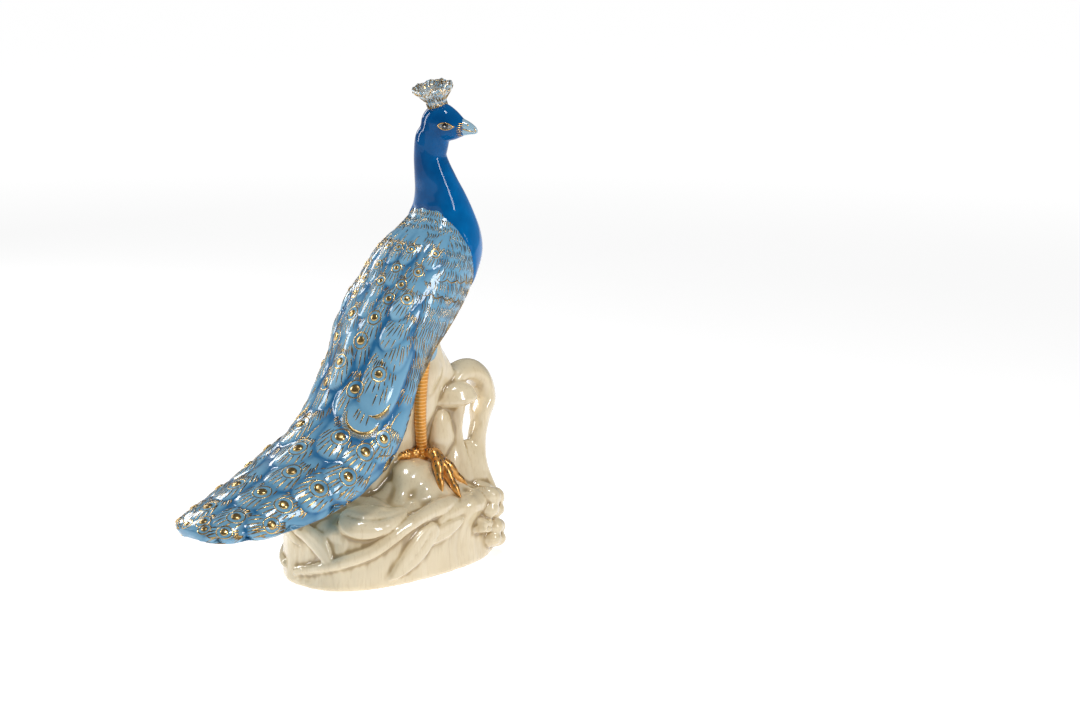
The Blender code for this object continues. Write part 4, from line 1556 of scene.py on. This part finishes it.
def tube_rings(path: Array, radii: Array, sides: int, flatten: float = 1.0) -> Array:
    """Rings of points round a path.

    The ring's first axis is the path's direction crossed with a fixed slanted vector, so it turns
    only as the path does; its second axis is shortened by the flattening.

    Args:
        path: Points of shape (n, 3).
        radii: Radii of shape (n,) or (n, sides).
        sides: Points of a ring.
        flatten: Share of the radius on the second axis.

    Returns:
        Rings of shape (n, sides, 3).
    """
    run = unit(np.gradient(path, axis=0))
    across = unit(np.cross(run, (0.12, 0.95, 0.2)))
    upward = np.cross(run, across)
    radii = radii[:, None] if radii.ndim == 1 else radii
    one = across[:, None] * (radii * np.cos(turns(sides)))[..., None]
    two = upward[:, None] * (radii * np.sin(turns(sides)) * flatten)[..., None]
    return path[:, None] + one + two


@dataclass
class Leg:
    """A gilded shank with scutes, and a foot with knuckled, freckled toes."""

    stump: "Stump"
    side: int  # 1 for the left and -1 for the right
    name: str
    ankle: Place = (28.0, 10.0, 88.0)  # of the left leg
    hip: Place = (21.0, 25.0, 172.0)
    shank: float = 3.9
    cuff: float = 6.0
    toes: Rows = (
        (-70.0, -33.0, 37.0),
        (-78.0, -86.0, 38.0),
        (-84.0, -122.0, 36.0),
        (172.0, 172.0, 25.0),
    )  # heading at the root and at the tip, and length
    toe: float = 4.3
    scutes: int = 34
    scute: float = 0.34  # height of a step
    bow: float = 5.0  # how far the shank's middle swings back
    knuckles: float = 3.2
    thigh: Place = (9.5, 9.0, 14.0)
    ball: Place = (6.6, 5.8, 4.2)
    voxel: float = 0.45

    def __post_init__(self) -> None:
        """Mirror ankle and hip to the leg's side."""
        self.low, self.high = (np.array(end) * (1, self.side, 1) for end in (self.ankle, self.hip))

    def build_shank(self, material: Material) -> None:
        """A shank: a tube whose front steps in at each scute, widening to the ruffled cuff on top.

        Args:
            material: The gold of the legs.
        """
        climb = np.linspace(0.0, 1.0, 330)
        turn = turns(36)
        ankle = self.low + (0, 0, -2.5)
        hip = self.high + (self.high - ankle) * 0.16 + (-3.0, 0, 0)
        path = ankle + (hip - ankle) * climb[:, None]
        path = path + np.array((-self.bow, 0, 0)) * np.sin(np.pi * climb)[:, None]
        radii = self.shank * (1.04 + 0.2 * np.sin(np.pi * climb)) + (self.cuff - self.shank) * 0.55 * climb**3
        radii = radii + 1.3 * bell(climb / 0.05)
        phase = (climb * self.scutes) % 1.0
        saw = np.where(phase < 0.75, phase / 0.75, (1 - phase) / 0.25)
        fade = (1 - smoothstep(0.8, 0.95, climb)) * smoothstep(0.02, 0.08, climb)
        steps = self.scute * (saw * fade)[:, None] * (0.55 + 0.45 * np.abs(np.cos(turn)))
        ruffle = 0.5 * np.cos(9 * turn) * smoothstep(0.85, 1.0, climb)[:, None]
        mesh = Mould.loft(tube_rings(path, radii[:, None] + steps + ruffle, 36)).mesh("shank")
        # ridge values: painted highlights on the crest of each scute
        set_values(mesh, "ridge", np.repeat(np.clip((saw - 0.72) / 0.28, 0, 1) * fade, 36))
        item = place("shank_" + self.name, mesh, material, Slot.GOLD)
        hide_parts("leg_" + self.name)

    def build_thigh(self, material: Material) -> None:
        """The low feathered swelling over a shank: an egg along the shank, lobed round its foot.

        Args:
            material: The sky-blue glaze.
        """

        def lobes(tilt: Array, turn: Array) -> Array:
            """Seven soft lobes round the foot."""
            return 1 + 0.07 * np.cos(7 * turn) * smoothstep(0.3, -0.9, tilt)

        run = self.high - self.low
        lean = Vector((0, 0, 1)).rotation_difference(Vector(run)).to_matrix()
        rings = self.high + run * 0.08 + (-3.8, 0.0, 0.0) + egg(self.thigh, 40, 48, lobes) @ np.array(lean).T
        Mould.loft(rings).place("thigh_" + self.name, material, Slot.SKY)

    def toe_path(self, toe: Sequence[float], count: int) -> Tuple[Array, Array]:
        """A toe's middle line over the stump's crown, and its radii with knuckles and a claw.

        Near the root the toes run together as a palm, then each turns to its own heading.

        Args:
            toe: Heading at the root and at the tip, in degrees, and length.
            count: Points along the line.

        Returns:
            Points of shape (count, 3) and their radii.
        """
        t = np.linspace(0, 1, count)
        heading = -self.side * np.radians(toe[0] + (toe[1] - toe[0]) * smoothstep(0.2, 0.55, t))
        step = (toe[2] + 2.0) / (count - 1)
        x = self.low[0] - 2.0 * np.cos(heading[0]) + np.cumsum(np.cos(heading)) * step
        y = self.low[1] - 2.0 * np.sin(heading[0]) + np.cumsum(np.sin(heading)) * step
        radii = self.toe * (1.05 - 0.2 * t + 0.12 * np.cos(2 * np.pi * self.knuckles * t))
        radii = radii * (1 - smoothstep(0.8, 1.02, t) * 0.8)
        height = self.stump.top(x, y) + 2.6 + radii * 0.9 - 1.2 * smoothstep(0.75, 1.0, t)
        height = np.minimum(height + 2.6 * (1 - smoothstep(0.0, 0.35, t)), self.low[2] + 0.5)
        return stacked(x, y, height), radii

    def build_foot(self, material: Material, ink: Material) -> None:
        """A foot melted from four toes and a knuckle, and its dark freckles.

        Args:
            material: The gold of the legs.
            ink: The finish of the freckles.
        """
        parts, marks = [], []
        rng = np.random.default_rng(3 + self.side)
        for toe in self.toes:
            parts.append(Mould.loft(tube_rings(*self.toe_path(toe, 60), 20)))
            t = np.repeat(np.linspace(0.22, 0.86, 8), 2) + rng.uniform(-0.02, 0.02, 16)
            where, spread = self.toe_path(toe, 200)
            index = (t * 199).astype(int)
            run = unit(np.gradient(where, axis=0))[index]
            across = unit(np.cross(run, (0, 0, 1)))
            lean = np.where(np.arange(16) % 2, 0.75, -0.55) + rng.uniform(-0.15, 0.15, 16)
            normal = unit(across * lean[:, None] + np.cross(across, run))
            spot = where[index] + normal * (spread[index] * 0.99)[:, None]
            size = stacked(0.6, rng.uniform(1.0, 1.3, 16))
            marks.append(Mould.studs(spot, normal, size, 0.8, 8))
        parts.append(Mould.loft(self.low + (-0.5, 0, -3.4) + egg(self.ball, 16, 24)))
        mesh = rounded(parts, self.voxel, 5)
        set_values(mesh, "ridge", 0.25 + 0.25 * ripple(points_and_normals(mesh)[0], 4.0))
        item = place("toes_" + self.name, mesh, material, Slot.GOLD)
        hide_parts("foot_" + self.name)
        Mould.joined(marks).place("freckles_" + self.name, ink, Slot.EYE)


class LeafPlan(NamedTuple):
    """A leaf on the stump: its root and tip as a turn in degrees and a climb."""

    root: Tuple[float, float]
    tip: Tuple[float, float]
    half_width: float
    bend: float
    thickness: float


@dataclass
class Stump:
    """The cast stump with pillar, vine, bud, leaves, roots and flowers, melted into one ivory skin."""

    half_length: float = 97.0
    half_width: float = 57.0
    squareness: float = 2.5
    wall: float = 45.0
    crown: float = 19.0
    boulder: Place = (20.0, -10.0, 21.0)
    boulder_reach: Tuple[float, float] = (31.0, 27.0)
    girth: float = 80.0
    climb: float = 55.0
    voxel: float = 1.24
    passes: int = 4
    crease: float = 0.55  # mm that count as a full crease
    spread: int = 22  # passes over the edges, which reach a few millimetres
    flower: float = 10.0  # height of a petal
    petals: int = 4
    leaves: Tuple[LeafPlan, ...] = (
        LeafPlan((-155, 1.36), (-105, 1.33), 17.5, -6.0, 6.5),
        LeafPlan((-184, 1.15), (-154, 0.5), 11.0, 3.0, 4.0),
        LeafPlan((-92, 1.0), (-117, 0.14), 10.0, 3.5, 3.6),
        LeafPlan((-78, 0.92), (-97, 0.6), 7.5, -1.5, 2.3),
        LeafPlan((-60, 1.35), (-40, 0.95), 8.0, 2.0, 3.0),
        LeafPlan((72, 1.4), (118, 0.85), 13.0, -2.0, 5.0),
        LeafPlan((60, 0.95), (84, 0.2), 9.0, 2.0, 4.0),
        LeafPlan((12, 1.1), (42, 0.5), 10.0, -2.0, 4.2),
        LeafPlan((150, 1.3), (178, 0.75), 9.0, 2.0, 3.6),
    )
    branches: Tuple[Rows, ...] = (
        ((-186, 0.24, 4.0), (-166, 0.42, 5.2), (-146, 0.56, 6.0), (-128, 0.7, 6.6), (-116, 0.9, 7.2),
         (-105, 1.1, 7.6), (-93, 1.24, 7.6), (-84, 1.33, 6.0), (-76, 1.36, 3.0)),
        ((158, 0.3, 4.0), (130, 0.5, 4.8), (108, 0.72, 5.4), (92, 0.95, 6.0), (76, 1.25, 6.0)),
        ((-30, 1.3, 5.0), (-18, 0.95, 5.0), (-14, 0.6, 4.4), (-20, 0.2, 3.6)),
    )
    blossoms: Rows = ((-50, 0.99, 15.5), (-45, 0.42, 15.5), (-62, 0.68, 8.0))
    mounds: Rows = (
        (-70, 1.16, 15.0, 4.5),
        (-86, 1.34, 12.0, 2.5),
        (-50, 1.2, 16.0, 4.5),
        (-114, 1.6, 13.0, -3.5),
        (-98, 1.74, 11.0, 2.0),
        (100, 1.3, 18.0, 4.0),
    )  # turn, climb, reach and height of soft swellings and hollows
    pillar: Rows = (
        (54.0, 8.0, 0.0, 66.0, 5.2),
        (80.0, 8.0, 0.0, 64.0, 5.2),
        (102.0, 14.0, 0.0, 60.0, 8.5),
        (126.0, 26.0, 0.0, 48.0, 14.0),
        (152.0, 36.0, 0.0, 31.0, 16.0),
        (178.0, 36.0, 0.0, 18.0, 15.0),
        (200.0, 41.0, 0.0, 13.0, 12.0),
        (214.0, 43.0, 0.0, 9.0, 9.0),
    )
    vine: Rows = (
        (52, 1, 128, 8.5),
        (68, -4, 142, 8.6),
        (80, -5, 146, 9.0),
        (91, -6, 144, 9.4),
        (100, -7, 135, 9.4),
        (101.5, -9, 121, 9.6),
        (95, -11, 111, 8.8),
        (92, -12, 102, 7.2),
        (87, -13, 89, 7.4),
        (84, -14, 73, 9.0),
        (87, -15, 60, 9.6),
        (92, -16, 44, 12.0),
    )
    spur: Rows = (
        (-46, 4, 48, 17.0),
        (-80, 5, 56, 15.0),
        (-108, 6, 58, 11.0),
        (-128, 7, 54, 9.0),
        (-142, 8, 52, 7.5),
    )
    bud_stem: Rows = (
        (64, -11, 60, 15.0),
        (64, -11, 76, 11.0),
        (65, -11, 89, 7.4),
        (65, -11, 101, 6.0),
        (65, -11, 111, 7.4),
        (65, -11, 121, 8.5),
    )

    def top(self, x: Array, y: Array) -> Array:
        """Height of the crown over the floor: a flat dome, with a lump as a bell curve."""
        power = self.squareness
        reach = np.abs(x / self.half_length) ** power + np.abs(y / self.half_width) ** power
        crown = np.sqrt(np.clip(1 - reach ** (2 / power), 0, 1))
        lump = ((x - self.boulder[0]) / self.boulder_reach[0]) ** 2
        lump = lump + ((y - self.boulder[1]) / self.boulder_reach[1]) ** 2
        return self.wall + self.crown * crown + self.boulder[2] * bell(lump)

    def surface(self, turn: Array, climb: Array) -> Array:
        """Points of the stump: climb 0 to 1 goes up the wall, 1 to 2 over the crown to its middle."""
        turn, climb = np.broadcast_arrays(turn, climb)
        cosine, sine = np.cos(turn), np.sin(turn)
        power = 2 / self.squareness
        inward = np.cos(np.radians(90) * np.clip(climb - 1, 0, 1))
        x = self.half_length * raised(cosine, power) * inward
        y = self.half_width * raised(sine, power) * inward
        wall = np.clip(climb, 0, 1)
        bulge = 1 + np.sin(np.pi * wall) * (0.03 * np.cos(3 * turn + 0.6) + 0.015 * np.cos(7 * turn))
        return stacked(x * bulge, y * bulge, wall * self.top(x, y))

    def flat(self, turn: Array, climb: Array, place_at: Tuple[float, float]) -> Tuple[Array, Array]:
        """Distances round and up from a place of the wall, in mm."""
        off = (turn - np.radians(place_at[0]) + np.pi) % (2 * np.pi) - np.pi
        return off * self.girth, (climb - place_at[1]) * self.climb

    def leaf_relief(self, leaf: LeafPlan, turn: Array, climb: Array) -> Array:
        """A leaf's height over the wall: a crowned pad with a sunk midrib, side veins and a crisp edge.

        Args:
            leaf: The leaf.
            turn: Turns in radians.
            climb: Climbs, 0 at the foot and 1 at the top of the wall.

        Returns:
            Heights in mm, 0 outside the leaf.
        """
        round_to, up_to = self.flat(np.radians(leaf.tip[0]), np.array(leaf.tip[1]), leaf.root)
        length = np.hypot(round_to, up_to)
        run = np.array((round_to, up_to)) / length
        u, v = self.flat(turn, climb, leaf.root)
        along = (u * run[0] + v * run[1]) / length
        across = -u * run[1] + v * run[0] - leaf.bend * np.sin(np.pi * np.clip(along, 0, 1))
        wide = leaf.half_width * np.sin(np.pi * np.clip(along, 0.001, 0.999) ** 0.85) ** 0.55
        share = np.abs(across) / np.maximum(wide, 0.1)
        pad = leaf.thickness * (0.45 + 0.55 * np.sqrt(np.clip(1 - share**2, 0, 1)))
        deep = 0.9 + 0.09 * max(0.0, leaf.half_width - 9.0)
        rib = deep * bell(across / (0.6 + 0.4 * deep)) * smoothstep(0.02, 0.15, along)
        veins = 0.14 * np.cos(2 * np.pi * (along * length - 0.8 * np.abs(across)) / 6.5)
        edge = smoothstep(0.0, 1.6, (1 - share) * wide)
        inside = (along > 0) & (along < 1)
        return np.where(inside, (pad - rib + veins * (1 - share)) * edge, 0.0)

    def branch_relief(self, branch: Sequence[Sequence[float]], turn: Array, climb: Array) -> Array:
        """A root's height: the half circle of its radius over the nearest point of its middle line.

        Args:
            branch: Turns in degrees, climbs and radii along the root.
            turn: Turns in radians.
            climb: Climbs.

        Returns:
            Heights in mm, 0 beside the root.
        """
        best = np.zeros(np.broadcast(turn, climb).shape)
        for where, level, radius in resampled(branch, 60):
            u, v = self.flat(turn, climb, (where, level))
            best = np.maximum(best, 0.8 * np.sqrt(np.clip(radius**2 - u**2 - v**2, 0, None)))
        return best

    def blossom_relief(self, blossom: Place, turn: Array, climb: Array) -> Array:
        """A flower's height: the highest of the round domes set round its middle.

        Args:
            blossom: Turn in degrees, climb and reach.
            turn: Turns in radians.
            climb: Climbs.

        Returns:
            Heights in mm, 0 beside the flower.
        """
        u, v = self.flat(turn, climb, blossom[:2])
        best = np.zeros(u.shape)
        for k, angle in enumerate(turns(self.petals)[0] + 0.5):
            out = np.hypot(u - 0.54 * blossom[2] * np.cos(angle), v - 0.54 * blossom[2] * np.sin(angle))
            petal = np.clip(1 - (out / (0.58 * blossom[2])) ** 2, 0, 1) ** 0.5
            best = np.maximum(best, (self.flower + 0.8 * (k % 2)) * petal * smoothstep(0.0, 0.3, petal))
        return best

    def build_block(self) -> Mould:
        """Wall and crown as one height field with fluted bark, leaves, roots and flowers.

        At each point the highest of the features stands; bark and folds show where there are none.
        """
        turn = turns(640) - np.pi
        climb = np.concatenate([np.linspace(0, 1, 70)[:-1], np.linspace(1, 1.97, 90)])[:, None]
        relief = np.zeros((climb.size, turn.size))
        features = ((self.leaf_relief, self.leaves), (self.branch_relief, self.branches),
                    (self.blossom_relief, self.blossoms))
        for shape, plans in features:
            for plan in plans:
                relief = np.maximum(relief, shape(plan, turn, climb))
        bark = 0.16 * np.cos(71 * turn + 2 * np.sin(5 * climb))
        bark = bark + 0.3 * np.cos(26 * turn + 1.3 * np.sin(3 * turn))
        base = self.surface(turn, climb)
        folds = (2.4 * ripple(base, 34.0, 0.5) + 1.5 * ripple(base, 15.0, 2.5)) * smoothstep(0.7, 1.15, climb)
        for where, level, reach, height in self.mounds:
            u, v = self.flat(turn, climb, (where, level))
            folds = folds + height * np.exp(-((u**2 + v**2) / reach**2))
        ground = bark * smoothstep(1.3, 0.9, climb) - 0.5 + folds
        total = np.where(relief > 0, np.maximum(relief + 0.4 * folds, ground), ground)
        foot = smoothstep(0.0, 0.07, climb)
        total = total * foot - 2.2 * (1 - foot)
        normal = surface_normals(self.surface, *np.broadcast_arrays(turn, np.clip(climb, 0.02, 1.96)))
        normal[..., 2] *= foot
        return Mould.loft(base + normal * total[..., None])

    def build_pillar(self) -> Mould:
        """The rock pillar with hanging folds: its radius swings with the turn and the height."""
        turn = turns(140)
        z, x, y, length, width = resampled(self.pillar, 150).T[:, :, None]
        twist = turn + 0.25 * np.sin(z / 26)
        folds = 1 + 0.13 * np.cos(5 * twist + z / 34) + 0.07 * np.cos(9 * twist - z / 22) - 0.05
        return Mould.loft(stacked(x + length * np.cos(turn) * folds, y + width * np.sin(turn) * folds, z))

    def build_stem(self, rows: Rows, grooves: int, depth: float, flatten: float) -> Mould:
        """A stem along points with a radius each, lightly fluted along its length."""
        values = resampled(rows, 140)
        radii = values[:, 3:4] * (1 + depth * np.cos(grooves * turns(56) + values[:, 2:3] / 18))
        return Mould.loft(tube_rings(values[:, :3], radii, 56, flatten))

    def build_cap(self, middle: Place, radii: Place, turned: float, droop: float) -> Mould:
        """A bud's cap: a turned egg whose underside is drawn in like a mushroom's.

        Args:
            middle: Its middle in mm.
            radii: Half lengths along X, Y and Z, before the turn.
            turned: Turn about the vertical, in degrees.
            droop: How far the underside is drawn in.

        Returns:
            The closed cap.
        """

        def lip(tilt: Array, turn: Array) -> Array:
            """A swelling just under the cap's widest ring, and the drawn-in part below it."""
            return 1 + 0.16 * bell((tilt + 0.25) / 0.3) - droop * smoothstep(-0.3, -0.9, tilt)

        x, y, z = np.moveaxis(egg(radii, 44, 60, lip), -1, 0)
        cosine, sine = np.cos(np.radians(turned)), np.sin(np.radians(turned))
        points = stacked(x * cosine - y * sine, x * sine + y * cosine, z + 0.06 * x)
        return Mould.loft(points + np.array(middle))

    def build(self, material: Material) -> None:
        """Melt all into one skin, then store how deep in a crease each point lies.

        Args:
            material: The ivory glaze.
        """
        parts = [
            self.build_block(),
            self.build_pillar(),
            self.build_stem(self.vine, 3, 0.08, 1.1),
            self.build_stem(self.spur, 5, 0.07, 1.0),
            self.build_stem(self.bud_stem, 4, 0.12, 1.0),
            self.build_cap((64.0, -11.0, 128.5), (17.5, 12.0, 12.5), -25.0, 0.3),
            self.build_cap((76.0, -12.0, 62.0), (20.0, 13.0, 28.5), -10.0, 0.0),
            self.build_cap((34.0, -9.0, 158.0), (15.0, 9.0, 27.0), 5.0, 0.1),
            self.build_cap((52.0, -8.0, 100.0), (12.0, 8.0, 22.0), 12.0, 0.1),
        ]
        mesh = rounded(parts, self.voxel, self.passes)
        # the crease values drive the ivory glaze's painted shade
        set_values(mesh, "crease", self.creases(mesh))
        item = place("stump_glaze", mesh, material, Slot.CREAM)
        nodes = [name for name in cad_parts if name.startswith(("leaf", "root", "blossom"))]
        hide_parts("base", "pillar", "vine", "spur", "bud", *nodes)

    def creases(self, mesh: Mesh) -> Array:
        """How far the neighbourhood's mean lies outside each point, in parts of the crease's depth.

        The mean is spread over the edges several times, so that it reaches a few millimetres.

        Args:
            mesh: The skin.

        Returns:
            Crease values from -1 to 2.
        """
        points, normals = points_and_normals(mesh)
        edges = np.empty(len(mesh.edges) * 2, np.int32)
        mesh.edges.foreach_get("vertices", edges)
        one, two = edges.reshape(-1, 2).T
        count = len(points)
        degree = np.bincount(np.concatenate([one, two]), minlength=count)[:, None]
        mean = points
        for _ in range(self.spread):
            sums = [np.bincount(one, k[two], count) + np.bincount(two, k[one], count) for k in mean.T]
            mean = 0.3 * mean + 0.7 * stacked(*sums) / degree
        return np.clip(((mean - points) * normals).sum(-1) / self.crease, -1, 2)


# ---- studio


@dataclass
class Studio:
    """Pale floor, soft lights and the camera."""

    lens: float = 100.0
    camera_at: Place = (-1.63086, -1.671601, 0.662178)
    turn: float = -47.2613  # of the camera about the vertical, in degrees
    pitch: float = 12.0  # of its aim below the level
    aim: Place = (0.0, 0.0, 0.2)  # of the lights
    greys: Rows = ((0.0, 0.28), (0.12, 0.22), (0.3, 0.08), (1.0, 0.14))
    lights: Tuple[Tuple[str, Place, Tuple[float, float], float], ...] = (
        ("tall_right", (1.15, 0.75, 0.75), (0.2, 0.5), 6.0),
        ("tall_left", (-1.15, -0.15, 0.7), (0.22, 0.8), 7.0),
        ("rear_left", (-0.8, -1.0, 0.75), (0.2, 0.6), 3.5),
        ("top", (0.35, 0.5, 1.75), (0.32, 0.32), 9.0),
    )  # name, place to the right, towards the camera and up, size, and power

    def build_floor(self) -> None:
        """A wide round floor, finely ringed, level with the figurine's foot."""
        radius = np.array([1.0, 300.0, 1500.0, 5000.0, 14000.0])[:, None]
        top = stacked(radius * np.cos(turns(96)), radius * np.sin(turns(96)), -0.05)
        mesh = Mould.loft(np.vstack([top, top[-1:] - (0, 0, 20.0)])).mesh("floor")
        made = Recipe("floor_paper", Roughness=0.8, Specular_IOR_Level=0.0, Emission_Strength=0.92)
        made.feed("Base Color", made.mix(made.noise(3.0, 2.0), (0.6, 0.6, 0.6), (0.63, 0.63, 0.63)))
        across, onward = made.coordinate(0), made.coordinate(1)
        far = made.between(across * across + onward * onward, 0.3, 6.0)
        made.feed("Emission Color", made.mix(far, (0.78, 0.78, 0.78), (1.0, 1.0, 1.0)))
        mesh.materials.append(made.material)
        floor = bpy.data.objects.new("floor", mesh)
        bpy.context.collection.objects.link(floor)

    def light(self, name: str, at: Place, size: Tuple[float, float], power: float) -> None:
        """One rectangular soft light at a place in metres, turned to the aim.

        Args:
            name: The light's name.
            at: Its place.
            size: Width and height in metres.
            power: Watts.
        """
        data = bpy.data.lights.new(name, "AREA")
        data.shape = "RECTANGLE"
        data.size, data.size_y = size
        data.energy = power
        item = bpy.data.objects.new(name, data)
        item.location = at
        item.rotation_euler = (Vector(self.aim) - Vector(at)).to_track_quat("-Z", "Y").to_euler()
        bpy.context.collection.objects.link(item)

    def around(self, right: float, towards: float, up: float) -> Place:
        """A place in metres: right of the figurine and towards the camera, as the camera sees it, and up."""
        cosine, sine = float(np.cos(np.radians(self.turn))), float(np.sin(np.radians(self.turn)))
        return right * cosine + towards * sine, right * sine - towards * cosine, up

    def build(self) -> None:
        """Set floor, world, lights and camera."""
        self.build_floor()
        Backdrop("studio", self.greys)
        for name, place_at, size, power in self.lights:
            self.light(name, self.around(*place_at), size, power)
        camera = bpy.data.objects.new("camera", bpy.data.cameras.new("camera"))
        camera.data.lens = self.lens
        camera.data.sensor_width = 36.0
        camera.data.clip_end = 60.0
        camera.location = self.camera_at
        camera.rotation_euler = (np.radians(90.0 - self.pitch), 0.0, np.radians(self.turn))
        bpy.context.collection.objects.link(camera)
        bpy.context.scene.camera = camera
        bpy.context.scene.view_settings.view_transform = "Standard"


def main() -> None:
    """Build the figurine piece by piece, then the studio."""
    logging.basicConfig(level=logging.INFO, format="%(message)s")
    body, head, stump = Body(), Head(), Stump()
    gold = Gilding().material()
    bright = Gilding("bright_gilding", (0.87, 0.55, 0.2), painted_dark_reflection=0.15).material()
    leg_gold = LegGold().material()
    sky = SkyGlaze().material()
    pale = PlainEnamel("pale_glaze", (0.29, 0.48, 0.6), (0.4, 0.56, 0.66)).material()
    black = PlainEnamel("eye_black", (0.004, 0.004, 0.005), (0.01, 0.01, 0.012)).material()
    grey = PlainEnamel("eye_grey", (0.16, 0.19, 0.22), (0.3, 0.33, 0.35)).material()
    white = PlainEnamel("eye_white", (0.85, 0.85, 0.83), (0.75, 0.76, 0.76)).material()
    BlueSkin(body, head).build(SmaltGlaze().material())
    plumage = Plumage(body)
    plumage.build(sky)
    Gilder(plumage).build(gold, Gilding("eye_gilding", (0.72, 0.5, 0.21), painted_dark_reflection=0.55).material())
    Crest(head).build(CrestGlaze().material(), gold)
    face = Face(head)
    face.build_bill(pale, bright)
    face.build_eyes(grey, black, bright, white)
    for side, name in ((1, "left"), (-1, "right")):
        leg = Leg(stump, side, name)
        leg.build_shank(leg_gold)
        leg.build_thigh(sky)
        leg.build_foot(leg_gold, black)
    stump.build(CreamGlaze().material())
    Studio().build()
    bpy.context.view_layer.update()


if __name__ == "__main__":
    main()
